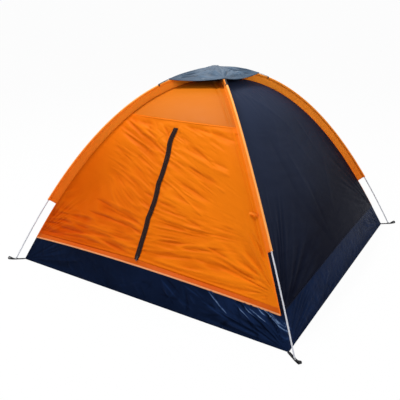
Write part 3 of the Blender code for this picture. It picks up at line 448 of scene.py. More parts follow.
def pulled_to(x, y, anchor, reach, pitch, seed):
    """Wrinkles that run to one point, spaced by pitch at half their reach from it."""
    off = np.hypot(x - anchor[0], y - anchor[1])
    angle = np.arctan2(y - anchor[1], x - anchor[0])
    lines = wrinkle(angle * reach / 2, off, pitch, reach * 0.45, seed)
    return lines * ramp(off, 0.02, 0.10) * (1 - ramp(off, reach * 0.45, reach))


def grid_quads(rows, columns, first=0, ring=False):
    """Faces of a grid whose points are numbered from first, row by row."""
    faces = []
    for i in range(rows - 1):
        for j in range(columns if ring else columns - 1):
            after = (j + 1) % columns
            low = first + i * columns
            faces.append((low + j, low + after, low + columns + after, low + columns + j))
    return faces


# A crease as high as this gets the full painted highlight on its crest, and a hollow as deep the
# full painted shade, that its cloth's crease shading gives; the limits cap both.
FULL_CREASE, PULL_LIMITS = 0.006, (-0.7, 2.2)


def add_sheet(name, grids, material, body, thickness=LIGHT_CLOTH, ring=False):
    """A piece of cloth from grids of (points, UV, relief) that share their edges."""
    points = np.concatenate([g.reshape(-1, 3) for g, _, _ in grids])
    uv = np.concatenate([u.reshape(-1, 2) for _, u, _ in grids])
    pull = np.concatenate([r.ravel() for _, _, r in grids]) / FULL_CREASE
    faces, first = [], 0
    for grid, _, _ in grids:
        faces += grid_quads(grid.shape[0], grid.shape[1], first, ring)
        first += grid.shape[0] * grid.shape[1]
    piece = add_piece(name, points, faces, material, body, uv, 180.0,
                      np.clip(pull, *PULL_LIMITS))
    solid = piece.modifiers.new("thickness", "SOLIDIFY")
    solid.thickness = thickness
    solid.offset = 0.0
    return piece


WAVE = 0.314    # A wave texture of this scale repeats every metre.


def coated_cloth(name, dark, light, thread, gloss, shine, crinkle, lean=(0.0, 0.0, 0.0),
                 level=0.5, wear_and_painted_crease_shading=0.0, glint="#FFFFFF"):
    """Plain woven polyester. Its tone drifts over the sheet and leans one way, a painted
    gradient of the light falling across it; crests of creases are painted paler as highlights
    and hollows darker as shade; its crossed threads and fine crinkles break up the shine."""
    cloth = bpy.data.materials.new(name)
    tree = bare_tree(cloth)
    place = node(tree, "ShaderNodeTexCoord")
    drift = node(tree, "ShaderNodeTexNoise", {"Vector": place.outputs["Object"], "Scale": 3.2,
                 "Detail": 4.0, "Roughness": 0.55})
    # Painted light: the tone leans paler one way over the object, standing in for the light that
    # falls across it.
    slope = node(tree, "ShaderNodeVectorMath", {0: place.outputs["Object"], 1: lean},
                 operation="DOT_PRODUCT")
    mixed = node(tree, "ShaderNodeMath", {0: drift.outputs["Fac"], 1: 0.28, 2: level - 0.14},
                 operation="MULTIPLY_ADD")
    graded = node(tree, "ShaderNodeMath", {0: mixed.outputs[0], 1: slope.outputs["Value"]},
                  operation="ADD")
    # Painted highlight and shade: each crease's height makes its crest paler and its hollow
    # darker.
    pulled = node(tree, "ShaderNodeAttribute", attribute_name="pull")
    graded = node(tree, "ShaderNodeMath", {0: pulled.outputs["Fac"], 1: wear_and_painted_crease_shading,
                  2: graded.outputs[0]}, operation="MULTIPLY_ADD")
    tone = node(tree, "ShaderNodeValToRGB", {"Fac": graded.outputs[0]}, name="dye_and_painted_light",
                stops=((0.15, dark), (0.85, light)))
    warp = node(tree, "ShaderNodeTexWave", {"Vector": place.outputs["UV"],
                "Scale": WAVE / thread, "Distortion": 0.4}, bands_direction="X")
    weft = node(tree, "ShaderNodeTexWave", {"Vector": place.outputs["UV"],
                "Scale": WAVE / thread, "Distortion": 0.4}, bands_direction="Y")
    threads = node(tree, "ShaderNodeMath", {0: warp.outputs["Fac"], 1: weft.outputs["Fac"]},
                   operation="MULTIPLY")
    folds = node(tree, "ShaderNodeTexNoise", {"Vector": place.outputs["Object"],
                 "Scale": 17.0, "Detail": 5.0, "Roughness": 0.5, "Distortion": 0.6})
    crossed = node(tree, "ShaderNodeBump", {"Height": threads.outputs[0],
                   "Distance": 0.00005, "Strength": 0.5})
    crinkled = node(tree, "ShaderNodeBump", {"Height": folds.outputs["Fac"],
                    "Distance": crinkle, "Strength": 0.5, "Normal": crossed.outputs[0]})
    dull = node(tree, "ShaderNodeMapRange", {"Value": folds.outputs["Fac"],
                "To Min": gloss - 0.07, "To Max": gloss + 0.07})
    skin = node(tree, "ShaderNodeBsdfPrincipled", {"Base Color": tone.outputs[0],
                "Roughness": dull.outputs[0], "IOR": 1.45, "Specular IOR Level": shine,
                "Specular Tint": linear(glint),
                "Sheen Weight": 0.02, "Sheen Roughness": 0.4, "Sheen Tint": linear(glint),
                "Normal": crinkled.outputs[0]})
    node(tree, "ShaderNodeOutputMaterial", {"Surface": skin.outputs[0]})
    return cloth


# The floor cloth's threads are 0.5 mm apart, too fine to show: drawn at 2.4 mm.
# Its tone is painted a little paler towards the right, a painted light, and its creases' heights
# are painted on as highlight and shade.
tarpaulin = coated_cloth("coated_tub_polyester", "#0A101F", "#1C2F54", thread=0.0024,
                         gloss=0.28, shine=0.006, crinkle=0.005, lean=(0.06, 0.0, 0.0),
                         level=0.28, wear_and_painted_crease_shading=0.30, glint="#3C5C9A")
# Painted glints: the hardest creases are painted a pale blue-silver at the top of the ramp,
# standing in for the shine along them as well as the coating's whitening where it has been folded
# hard.
dye_and_painted_light = tarpaulin.node_tree.nodes["dye_and_painted_light"].color_ramp
dye_and_painted_light.elements[1].position = 0.74
dye_and_painted_light.elements.new(0.98).color = linear("#6E88AC")

# Hard creases of the front side, as start and end along and up it, width and height.
HARD_CREASES = (
    (1.508, 0.229, 1.617, 0.120, 0.0036, 0.013), (1.552, 0.190, 1.612, 0.112, 0.0032, 0.012),
    (1.740, 0.196, 1.826, 0.126, 0.0034, 0.012), (1.846, 0.216, 1.994, 0.124, 0.0036, 0.013),
    (1.900, 0.176, 2.052, 0.060, 0.0036, 0.013), (1.822, 0.236, 2.058, 0.056, 0.0030, 0.013),
    (1.770, 0.190, 1.904, 0.118, 0.0032, 0.011), (1.684, 0.195, 1.806, 0.095, 0.0036, 0.009),
    (1.462, 0.140, 1.655, 0.060, 0.0045, 0.006), (1.187, 0.198, 1.290, 0.105, 0.0050, 0.006),
    (1.958, 0.180, 2.062, 0.070, 0.0036, 0.011), (1.930, 0.090, 2.060, 0.035, 0.0050, 0.007),
    (1.350, 0.205, 1.470, 0.150, 0.0050, 0.005), (1.560, 0.120, 1.760, 0.050, 0.0050, 0.005),
    (1.800, 0.232, 1.900, 0.150, 0.0030, 0.012), (1.870, 0.226, 2.040, 0.086, 0.0030, 0.011),
    (1.592, 0.148, 1.640, 0.104, 0.0028, 0.012), (1.530, 0.236, 1.570, 0.190, 0.0030, 0.010))
TUB_RELIEF = 0.0075
# The turned-up side goes round the tent from the front left corner. It is unrolled as x
# around its foot and y up it, and hangs between a rim on the walls and a straight foot.
counts = (300, 150, 150, 150)
rims, feet, outs = [], [], []
for count, wall in zip(counts, (front_wall, right_wall, rear_wall, left_wall)):
    shares = np.linspace(0.0, 1.0, count + 1)[:-1]
    rims.append(wall.surface(wall.tub_run, shares)[0] - (0.0, 0.0, 0.0006))
    left, right = wall.left.ridge(wall.floor_run), wall.right.ridge(wall.floor_run)
    feet.append(left + (right - left) * shares[:, None])
    outs.append(np.broadcast_to(wall.out, (count, 3)))
rim, foot, out = (np.concatenate(parts) for parts in (rims, feet, outs))
foot[:, 2] = 0.0005
steps = np.linalg.norm(np.roll(foot, -1, axis=0) - foot, axis=1)
around = np.concatenate(([0.0], np.cumsum(steps)[:-1]))
levels = np.linspace(1.0, 0.0, 42)
side = foot[None] + (rim - foot)[None] * levels[:, None, None]
height = np.linalg.norm(rim - foot, axis=1)[None] * levels[:, None]
x, y = np.broadcast_to(around[None], height.shape), height
relief = np.zeros_like(x)
starts = [0.0] + [float(steps[:sum(counts[:k + 1])].sum()) for k in range(4)]
for k in range(4):
    low, high = starts[k], starts[k + 1]
    inside = ramp(x, low, low + 0.02) * (1 - ramp(x, high - 0.02, high))
    strained = 0.30 + 0.70 * ramp(x, low + 0.7, high - 0.4) if k == 0 else 0.38
    creased = crumple(x, y, (low, 0.0), (high, 0.2), heading=122, spread=24, count=90,
                      length=0.11, width=0.0055, height=0.0070, seed=11 + k)
    creased += crumple(x, y, (low, 0.0), (high, 0.2), heading=30, spread=20, count=30,
                       length=0.13, width=0.0055, height=0.0060, seed=21 + k)
    for end in (low, high):
        creased += 0.0080 * pulled_to(x, y, (end, 0.0), reach=0.62, pitch=0.022, seed=31 + k)
    relief += inside * strained * creased
relief *= ramp(y, 0.0, 0.035) * (0.25 + 0.75 * ramp(height[0][None] - y, 0.0, 0.03))
relief = TUB_RELIEF * np.tanh(relief / TUB_RELIEF)
hard = np.zeros_like(x)
for *line, width, rise in HARD_CREASES:
    hard = np.maximum(hard, crease(x, y, line[:2], line[2:], width, rise))
relief += 0.4 * hard * ramp(y, 0.0, 0.03)
tub_side = side + out[None] * relief[..., None]
# The crease heights that paint the tub's colour: crests paler as painted glints and highlights,
# hollows darker as painted shade, the hard creases most.
side_relief = 0.5 * relief + 1.1 * hard
# The floor follows in rings from the foot to its middle, with low, broad creases.
rings = np.linspace(1.0, 0.0, 15)[1:] ** 0.9
floor_rings = foot[None] * np.stack((rings, rings, np.ones_like(rings)), axis=1)[:, None]
x, y = floor_rings[..., 0], floor_rings[..., 1]
relief = crumple(x, y, (-0.9, -0.85), (0.9, 0.85), heading=0, spread=90, count=60, length=0.5,
                 width=0.06, height=0.0045, seed=41)
off_middle = np.maximum(np.abs(x) / FOOT_X, np.abs(y) / FOOT_Y)
floor_rings[..., 2] += np.abs(relief) * ramp(off_middle, 0.99, 0.9)
tub_points = np.concatenate((tub_side, floor_rings))
tub_relief = np.concatenate((side_relief, np.zeros_like(relief)))
flat_side = np.stack((np.broadcast_to(around[None], height.shape), height + 1.0), axis=-1)
tub_uv = np.concatenate((flat_side, floor_rings[..., :2]))
tub = add_sheet("tub_floor", [(tub_points, tub_uv, tub_relief)], tarpaulin, "shell",
                STOUT_CLOTH, ring=True)
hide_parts("groundsheet_tub")


# Side walls and rear wall. Each is one panel of light proofed nylon, navy at the sides
# and orange at the rear, felled into the sleeves and the tub and pulled tight by the
# poles. It is smooth above and gathers in shallow folds towards the corners.
# The nylon's threads are 0.3 mm apart, too fine to show: drawn at 2.2 mm.
NYLON_THREAD = 0.0022
# Painted light: the navy is painted paler towards the top and the front, and the orange paler to
# the right and higher up, for the light that falls on them; both have their crease heights
# painted on as highlight and shade.
navy_nylon = coated_cloth("proofed_navy_nylon", "#090B18", "#272F43", NYLON_THREAD,
                          gloss=0.46, shine=0.03, crinkle=0.0016, lean=(0.0, -0.26, 0.95),
                          level=-0.22, wear_and_painted_crease_shading=0.12, glint="#4A5A88")
orange_nylon = coated_cloth("proofed_orange_nylon", "#C24600", "#EA780E", NYLON_THREAD,
                            gloss=0.5, shine=0.08, crinkle=0.0018, lean=(0.42, 0.0, 0.45),
                            level=0.35, wear_and_painted_crease_shading=0.18, glint="#FFB070")


def raised(points, relief, outward):
    """A grid of points lifted along its own normals."""
    normal = np.cross(np.gradient(points, axis=1), np.gradient(points, axis=0))
    length = np.linalg.norm(normal, axis=2, keepdims=True)
    normal = normal / np.maximum(length, 1e-12)
    normal *= np.sign(np.sum(normal * outward, axis=2, keepdims=True))
    return points + normal * relief[..., None]


def flat_places(points):
    """UV in metres: how far each point of a grid lies along its row and up its column."""
    across = np.linalg.norm(np.diff(points, axis=1), axis=2)
    across = np.concatenate((np.zeros((len(points), 1)), np.cumsum(across, axis=1)), axis=1)
    across -= across[:, -1:] / 2
    middle = points[:, points.shape[1] // 2]
    up = np.concatenate(([0.0], np.cumsum(np.linalg.norm(np.diff(middle, axis=0), axis=1))))
    return np.stack((across, np.broadcast_to(up[:, None], across.shape)), axis=-1)


WALL_RELIEF, WALL_ROWS, WALL_COLUMNS = 0.009, 136, 206
for name, node_name, wall, cloth, slot, seed, flat in (
        ("right_side_wall", "right_wall", right_wall, navy_nylon, "navy_nylon", 51, (1.98, 1.22)),
        ("left_side_wall", "left_wall", left_wall, navy_nylon, "navy_nylon", 61, (1.98, 1.22)),
        ("rear_orange_wall", "rear_wall", rear_wall, orange_nylon, "orange_nylon", 71,
         (2.03, 1.22))):
    runs = np.linspace(wall.tub_run, wall.vent_run + VENT_HEM, WALL_ROWS)
    shares = np.linspace(0.0, 1.0, WALL_COLUMNS)
    smooth = wall.surface(runs, shares)
    uv = flat_places(smooth)
    x, y = uv[..., 0], uv[..., 1]
    half, top = np.abs(x[:, -1:]), y[-1, 0]
    # Wrinkles run to the four corners and along the tub, and fainter ones slant across.
    relief = np.zeros_like(x)
    for side in (-1, 1):
        relief += 0.0030 * pulled_to(x, y, (side * half[0, 0], -0.03), reach=0.80, pitch=0.022,
                                     seed=seed + side)
        relief += 0.0007 * pulled_to(x, y, (side * half[-1, 0], top), reach=0.45, pitch=0.016,
                                     seed=seed + 3 + side)
    low_down, lower_part = 1 - ramp(y, 0.08, 0.30), 1 - ramp(y, 0.75, 0.95)
    relief += 0.0012 * wrinkle(y, x, pitch=0.020, length=0.20, seed=seed + 5) * low_down
    relief += crumple(x, y, (-0.55, 0.2), (0.55, 1.0), heading=84, spread=24, count=14,
                      length=0.4, width=0.02, height=0.0016, seed=seed + 9)
    lean = y - 0.25 * np.abs(x)
    relief += 0.0008 * wrinkle(lean, x, pitch=0.030, length=0.26, seed=seed + 11) * lower_part
    # The sewn edges lie flat.
    edge = np.minimum(half - np.abs(x), np.minimum(y, top - y))
    relief *= ramp(edge, 0.0, 0.028)
    relief = np.clip(relief, -WALL_RELIEF, WALL_RELIEF)
    points = raised(smooth, relief, wall.out)
    piece = add_sheet(name, [(points, uv, relief)], cloth, "shell")
    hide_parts(node_name)


# Orange front. A plain upper panel, a lower panel with the T-shaped doorway in it, two
# door flaps that meet at the zip, and a hem strip, painted darker as shade, sewn along the
# tub below the doorway. All are the same light nylon, drawn into creases by the zip and the
# corners.
DOOR_TOP, DOOR_SILL, SILL_CORNER_RISE, DOOR_CORNER_INSET = 0.977, 0.262, 0.030, 0.055
# The strip's cloth is the orange painted a darker burnt orange, painted shade for the
# shade under the flap's rolled hem; the tape that binds the front's foot is paler; and the
# upper panel is painted a duller orange, paler higher up, a painted light.
hem_nylon = coated_cloth("proofed_orange_nylon_painted_shaded", "#B84806", "#D8620E", NYLON_THREAD,
                         gloss=0.55, shine=0.08, crinkle=0.002)
binding = coated_cloth("pale_orange_binding_tape", "#D88A54", "#EFAE7C", NYLON_THREAD,
                       gloss=0.6, shine=0.08, crinkle=0.001)
# Painted light: the upper panel's orange is painted duller and paler, and paler still higher up,
# for the sky light on its upward face.
upper_nylon_painted_paler = coated_cloth("orange_nylon_painted_paler_for_sky_light", "#C2620A", "#CF720A", NYLON_THREAD,
                           gloss=0.5, shine=0.08, crinkle=0.0012, lean=(0.1, 0.0, 0.9),
                           level=-0.45)

low, high = front_wall.tub_middle, front_wall.seam_middle
door_top = low + (high - low) * ((DOOR_TOP - low[2]) / (high[2] - low[2]))
door_foot = low + (high - low) * ((DOOR_SILL - low[2]) / (high[2] - low[2]))
sill_run = front_wall.left.run_at_height(TUB_CORNER_HEIGHT + SILL_CORNER_RISE)
low_z, high_z = front_wall.chord(front_wall.tub_run)[2], front_wall.chord(front_wall.seam_run)[2]
share = np.linalg.norm(door_top - low) / np.linalg.norm(high - low)
top_run = front_wall.left.run_at_height(low_z + (high_z - low_z) * share)
door_lows = {}
for side, corner in (("left", front_wall.left), ("right", front_wall.right)):
    start = corner.ridge(sill_run)
    reach = door_foot - start
    door_lows[side] = start + unit(reach) * DOOR_CORNER_INSET

front_face = unit(np.cross(high - low, (-1.0, 0.0, 0.0)))
front_face *= -np.sign(front_face[1])

# Creases of the front, each as start and end across and up, width and rise: the zip draws
# the flaps in, and the corners pull on the hem. The cloth shows them narrower and higher.
FOLD_NARROWED, FOLD_RAISED, FRONT_RELIEF = 0.7, 1.5, 0.0095
FRONT_FOLDS = (
    (-0.274, 0.973, -0.175, 0.962, 0.012, -0.004), (-0.362, 0.952, 0.010, 0.807, 0.013, -0.008),
    (-0.347, 0.977, -0.019, 0.847, 0.016, 0.006), (-0.373, 0.898, -0.094, 0.787, 0.012, -0.006),
    (-0.221, 0.939, -0.016, 0.836, 0.010, -0.006), (-0.184, 0.944, 0.000, 0.855, 0.012, 0.004),
    (-0.097, 0.976, -0.018, 0.902, 0.009, -0.005), (-0.137, 0.983, -0.045, 0.915, 0.010, 0.004),
    (-0.425, 0.822, -0.244, 0.732, 0.010, -0.004), (-0.424, 0.694, -0.157, 0.611, 0.006, 0.004),
    (-0.108, 0.564, 0.010, 0.531, 0.010, -0.005), (-0.101, 0.604, 0.004, 0.584, 0.009, -0.005),
    (-0.076, 0.657, 0.006, 0.638, 0.008, -0.004), (-0.404, 0.462, -0.012, 0.430, 0.012, -0.005),
    (-0.386, 0.419, -0.021, 0.396, 0.010, -0.005), (-0.378, 0.500, -0.036, 0.474, 0.012, 0.004),
    (0.058, 0.994, 0.244, 0.961, 0.014, -0.007), (0.221, 0.969, 0.436, 0.938, 0.012, -0.008),
    (0.042, 1.019, 0.424, 0.973, 0.014, 0.006), (0.282, 1.008, 0.426, 0.988, 0.010, -0.006),
    (0.111, 0.886, 0.308, 0.812, 0.016, -0.008), (0.284, 0.825, 0.430, 0.799, 0.012, -0.006),
    (0.048, 0.861, 0.331, 0.785, 0.013, 0.008), (0.309, 0.792, 0.448, 0.767, 0.013, 0.007),
    (0.149, 0.779, 0.423, 0.687, 0.015, -0.009), (0.037, 0.833, 0.318, 0.726, 0.014, 0.007),
    (0.306, 0.724, 0.439, 0.679, 0.012, 0.006), (0.074, 0.671, 0.354, 0.527, 0.006, 0.005),
    (0.015, 0.575, 0.183, 0.547, 0.011, -0.006), (0.127, 0.685, 0.363, 0.615, 0.013, -0.006),
    (0.025, 0.609, 0.184, 0.583, 0.012, 0.004), (0.116, 0.656, 0.360, 0.584, 0.010, 0.003),
    (0.051, 0.538, 0.264, 0.515, 0.010, -0.004), (0.624, 0.515, 0.795, 0.367, 0.009, 0.006),
    (0.643, 0.529, 0.800, 0.387, 0.009, -0.006), (0.695, 0.515, 0.809, 0.394, 0.009, -0.006),
    (0.657, 0.541, 0.782, 0.425, 0.008, 0.004), (0.622, 0.428, 0.780, 0.340, 0.010, -0.006),
    (0.596, 0.413, 0.779, 0.326, 0.009, 0.005), (0.578, 0.375, 0.783, 0.313, 0.010, -0.005),
    (0.551, 0.325, 0.790, 0.291, 0.011, -0.006), (0.555, 0.350, 0.773, 0.306, 0.010, 0.005),
    (0.086, 0.307, 0.370, 0.328, 0.011, -0.007), (0.356, 0.330, 0.670, 0.300, 0.012, -0.007),
    (0.097, 0.278, 0.363, 0.272, 0.013, 0.006), (0.349, 0.273, 0.786, 0.267, 0.013, 0.007),
    (0.090, 0.376, 0.404, 0.401, 0.010, -0.006), (0.390, 0.403, 0.551, 0.364, 0.010, -0.006),
    (0.114, 0.465, 0.267, 0.448, 0.009, -0.005), (0.261, 0.447, 0.426, 0.450, 0.009, -0.005),
    (0.235, 0.385, 0.481, 0.402, 0.010, 0.005), (0.232, 0.509, 0.342, 0.484, 0.008, -0.005),
    (0.223, 0.476, 0.367, 0.469, 0.008, 0.004), (-0.725, 0.267, -0.369, 0.298, 0.012, -0.007),
    (-0.387, 0.300, -0.024, 0.267, 0.013, -0.007), (-0.549, 0.296, -0.036, 0.259, 0.012, 0.006),
    (-0.511, 0.413, -0.220, 0.411, 0.011, -0.006), (-0.237, 0.414, -0.030, 0.400, 0.010, -0.006),
    (-0.467, 0.491, -0.292, 0.471, 0.010, -0.005), (-0.309, 0.473, -0.036, 0.436, 0.010, -0.006),
    (-0.588, 0.265, -0.237, 0.314, 0.011, 0.005), (-0.254, 0.316, 0.011, 0.312, 0.011, 0.006),
    (-0.827, 0.222, -0.433, 0.268, 0.010, -0.005), (-0.183, 0.418, -0.014, 0.376, 0.008, 0.004),
    (-0.208, 0.441, -0.029, 0.416, 0.008, 0.004), (-0.654, 0.334, -0.218, 0.346, 0.010, 0.004))


def ridge_distance(x, z):
    """How far a place on the front lies from the right-hand ridge seam."""
    runs = np.linspace(0.0, front_wall.right.half, 400)
    ridge = front_wall.right.ridge(runs)
    slope = np.gradient(ridge[:, 0], ridge[:, 2])
    off = np.interp(z, ridge[:, 2], ridge[:, 0]) - x
    return off / np.sqrt(1 + np.interp(z, ridge[:, 2], slope) ** 2)


def bowed(height):
    """How far the door's zip strays sideways at a height, where the cloth pulls on it."""
    share = (height - DOOR_SILL) / (DOOR_TOP - DOOR_SILL)
    stray = np.zeros_like(share)
    for place, width, reach in ((0.885, 0.075, -0.0140), (0.565, 0.040, -0.0060),
                                (0.30, 0.040, -0.0050), (0.44, 0.050, 0.0040)):
        stray += reach * np.exp(-((share - place) / width) ** 2)
    return stray * ramp(share, 0.02, 0.12) * (1 - ramp(share, 0.95, 1.0))


def front_relief(points):
    """Height of the front's creases, by where a point lies across and above the ground."""
    x, z = points[..., 0], points[..., 2]
    relief = np.zeros_like(x)
    for *line, width, height in FRONT_FOLDS:
        relief += crease(x, z, line[:2], line[2:], FOLD_NARROWED * width, FOLD_RAISED * height)
    # Close wrinkles cover the front low down, and higher up lie mostly near the zip. They
    # leave the right-hand hem corner free, where the cloth runs in rays to the corner.
    right_corner, left_corner = (0.88, 0.25), (-0.92, 0.17)
    corner_off = np.hypot(x - right_corner[0], z - right_corner[1])
    open_cloth = ramp(corner_off, 0.20, 0.50) * (1 - ramp(z, 0.985, 1.0))
    lean = 0.06 - 0.39 * ramp(z, 0.36, 0.64)
    line = z - lean * x
    low = 1 - ramp(z, 0.42, 0.60)
    busy = low + (1 - low) * (1 - 0.85 * ramp(np.abs(x + 0.03), 0.30, 0.44))
    coarse = wrinkle(line, x, pitch=0.022, length=0.17, seed=83)
    fine = wrinkle(line + 0.05 * x, x + 3.0, pitch=0.013, length=0.10, seed=84)
    relief += 0.0034 * coarse * busy * open_cloth
    relief += 0.0017 * fine * busy * open_cloth
    relief += 0.0048 * pulled_to(x, z, right_corner, reach=0.55, pitch=0.018, seed=85)
    relief += 0.0026 * pulled_to(x, z, left_corner, reach=0.50, pitch=0.016, seed=86)
    relief += crumple(x, z, (-0.45, 0.93), (0.45, 0.985), heading=-50, spread=16, count=26,
                      length=0.07, width=0.006, height=0.0026, seed=88)
    # A tuck runs beside the right-hand ridge seam.
    near_ridge = ridge_distance(x, z)
    relief += 0.0030 * np.exp(-((near_ridge - 0.016) / 0.005) ** 2) * ramp(z, 0.30, 0.45)
    relief -= 0.0030 * np.exp(-((near_ridge - 0.027) / 0.005) ** 2) * ramp(z, 0.30, 0.45)
    relief = FRONT_RELIEF * np.tanh(relief / FRONT_RELIEF)
    # The cloth lies flat along the cross seam and under the zip's tape.
    seam = np.abs(z - SEAM_HEIGHT - 4.0 * WALL_LIFT * (0.25 - np.clip(x, -0.5, 0.5) ** 2))
    relief *= ramp(seam, 0.007, 0.026)
    return relief * (0.15 + 0.85 * ramp(np.abs(x - bowed(z)), 0.006, 0.036))


def ease(points):
    """How far the cloth stands out where it rounds off the doorway's two fold lines."""
    x, z = points[..., 0], points[..., 2]
    knots = []
    for side, corner in (("left", front_wall.left), ("right", front_wall.right)):
        ridge = corner.ridge(np.linspace(0.0, corner.half, 400))
        share = np.clip((z - door_lows[side][2]) / (door_top[2] - door_lows[side][2]), 0.0, 1.0)
        fold = door_lows[side] + (door_top - door_lows[side]) * share[..., None]
        knots.append((np.interp(z, ridge[:, 2], ridge[:, 0]),
                      np.interp(z, ridge[:, 2], ridge[:, 1]), fold[..., 0], fold[..., 1]))
    share = np.clip((z - door_foot[2]) / (door_top[2] - door_foot[2]), 0.0, 1.0)
    middle = door_foot[1] + (door_top[1] - door_foot[1]) * share

    def depth(x):
        edge_x, edge_y, fold_x, fold_y = (np.where(x < 0, a, b) for a, b in zip(*knots))
        x, edge_x, fold_x = np.abs(x), np.abs(edge_x), np.maximum(np.abs(fold_x), 1e-6)
        inner = middle + (fold_y - middle) * x / fold_x
        outer = fold_y + (edge_y - fold_y) * (x - fold_x) / np.maximum(edge_x - fold_x, 1e-6)
        return np.where(x < fold_x, inner, outer)

    limit = np.where(x < 0, np.abs(knots[0][0]), np.abs(knots[1][0]))
    reach = np.clip(limit - np.abs(x), 0.0, 0.07)
    mean = sum(depth(x + reach * k) for k in np.linspace(-1.0, 1.0, 11)) / 11
    return np.clip(depth(x) - mean, -0.006, 0.006) * (1 - ramp(z, 0.93, 0.97))


def lifted_front(grids):
    """The front's grids with their creases, each kept flat at its sewn edges."""
    done = []
    for smooth, edge in grids:
        uv = np.stack((smooth[..., 0], smooth[..., 2]), axis=-1)
        relief = front_relief(smooth) * edge
        lifted = smooth + front_wall.out * (ease(smooth) * edge)[..., None]
        done.append((lifted + front_face * relief[..., None], uv, relief))
    return done


# The lower panel is three strips round the doorway: left, right and a band over it.
columns = 96
half = np.linspace(0.0, 1.0, columns + 1)
side_runs = np.linspace(sill_run, top_run, 200)
strips, top_rows = [], []
for side, corner in (("left", front_wall.left), ("right", front_wall.right)):
    outer = corner.ridge(side_runs)
    rise = ((side_runs - sill_run) / (top_run - sill_run))[:, None]
    inner = door_lows[side] * (1 - rise) + door_top * rise
    strip = outer[:, None] * (1 - half[None, :, None]) + inner[:, None] * half[None, :, None]
    away = np.linalg.norm(strip - outer[:, None], axis=2)
    edge = ramp(away, 0.0, 0.02) * ramp(np.linalg.norm(strip - strip[:1], axis=2), 0.014, 0.04)
    strips.append((strip, edge) if side == "left" else (strip[:, ::-1], edge[:, ::-1]))
    top_rows.append(strip[-1])
lower_edge = np.concatenate((top_rows[0], top_rows[1][::-1][1:]))
upper_edge = front_wall.surface(front_wall.seam_run, np.linspace(0.0, 1.0, 2 * columns + 1))[0]
lift = np.linspace(0.0, 1.0, 5)[:, None, None]
band = lower_edge[None] * (1 - lift) + upper_edge[None] * lift
edge = np.broadcast_to(ramp(np.minimum(half * 2, 1.0), 0.0, 0.06), (5, columns + 1))
strips.append((band, np.concatenate((edge, edge[:, ::-1][:, 1:]), axis=1)))
lower_panel = add_sheet("front_lower_cloth", lifted_front(strips), orange_nylon, "shell")
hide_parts("front_lower_panel")

upper_runs = np.linspace(front_wall.seam_run, front_wall.vent_run + VENT_HEM, 60)
smooth = front_wall.surface(upper_runs, np.linspace(0.0, 1.0, 110))
away = np.minimum(np.linalg.norm(smooth - smooth[:, :1], axis=2),
                  np.linalg.norm(smooth - smooth[:, -1:], axis=2))
upper_panel = add_sheet("front_upper_cloth", lifted_front([(smooth, ramp(away, 0.0, 0.02))]),
                        upper_nylon_painted_paler, "shell")
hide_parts("front_upper_panel")

sill_top = np.concatenate((
    front_wall.left.ridge(sill_run) * (1 - half[:, None]) + door_foot * half[:, None],
    (door_foot * (1 - half[:, None]) + front_wall.right.ridge(sill_run) * half[:, None])[1:]))
sill_low = front_wall.surface(front_wall.tub_run, np.linspace(0.0, 1.0, 2 * columns + 1))[0]
lift = np.linspace(0.0, 1.0, 13)[:, None, None]
smooth = sill_low[None] * (1 - lift) + sill_top[None] * lift
uv = flat_places(smooth)
ripple = crumple(uv[..., 0], uv[..., 1], (-0.95, 0.0), (0.95, 0.04), heading=8, spread=10,
                 count=60, length=0.09, width=0.006, height=0.0016, seed=91)
rows_up = np.broadcast_to(lift[..., 0], ripple.shape)
ripple *= ramp(rows_up, 0.0, 0.4) * (1 - ramp(rows_up, 0.55, 0.75))
points = raised(smooth, ripple, front_wall.out)
sill = add_sheet("door_hem_strip", [(points, uv, ripple)], hem_nylon, "shell")
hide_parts("door_sill")

for side in ("left", "right"):
    rise = np.linspace(0.0, 1.0, 200)[:, None]
    zip_edge = door_foot * (1 - rise) + door_top * rise
    zip_edge[:, 0] += bowed(zip_edge[:, 2])
    hinge_edge = door_lows[side] * (1 - rise) + door_top * rise
    across = np.linspace(0.0, 1.0, 180)[None, :, None]
    smooth = zip_edge[:, None] * (1 - across) + hinge_edge[:, None] * across
    low_edge = np.linalg.norm(smooth - smooth[:1], axis=2)
    done = lifted_front([(smooth, ramp(low_edge, 0.014, 0.04))])
    # The lower edge is turned under, which swells it a little.
    rolled = 0.0045 * np.exp(-((low_edge - 0.010) / 0.0055) ** 2)
    rolled = rolled * ramp(across[..., 0], 0.0, 0.04) * (1 - ramp(across[..., 0], 0.9, 1.0))
    done = [(p + front_face * rolled[..., None], uv, relief + rolled) for p, uv, relief in done]
    flap = add_sheet(f"door_cloth_{side}", done, orange_nylon, None)
    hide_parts(f"door_flap_{side}")
    # Which way is inward across the fold line; the flap's placement is then baked into its
    # points.
    inward = np.cross(unit(door_top - door_lows[side]), front_face)
    inward *= np.sign(np.dot(inward, door_foot - door_lows[side]))
    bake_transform(flap)


# Zips. The door shuts with one chain up its middle and one along each hem: black woven
# tape with a coil of grey nylon teeth along its edge, sewn down with two rows of thread.
# The tape bows a little sideways where the cloth pulls on it.
FABRIC, TAPE_WIDTH, TAPE = 0.0016, 0.0165, 0.0008
ZIP_END, HEM_TAPE_WIDTH, HEM_END, SILL_TAPE_END = 0.012, 0.0120, 0.034, 0.0078
ZIP_START, TAPE_ROWS = 0.0008, (0.0080, 0.0142)
# Each tooth and stitch by its length along the row, its width and its height.
TOOTH = (0.0017, 0.0034, 0.0019)
HEM_TOOTH = (0.0017, 0.0030, 0.0019)
SILL_TOOTH = (0.0017, 0.0026, 0.0016)
TOOTH_PITCH, TOOTH_LIFT = 0.0024, 0.0006
STITCH, STITCH_PITCH = (0.0030, 0.0008, 0.0008), 0.0048

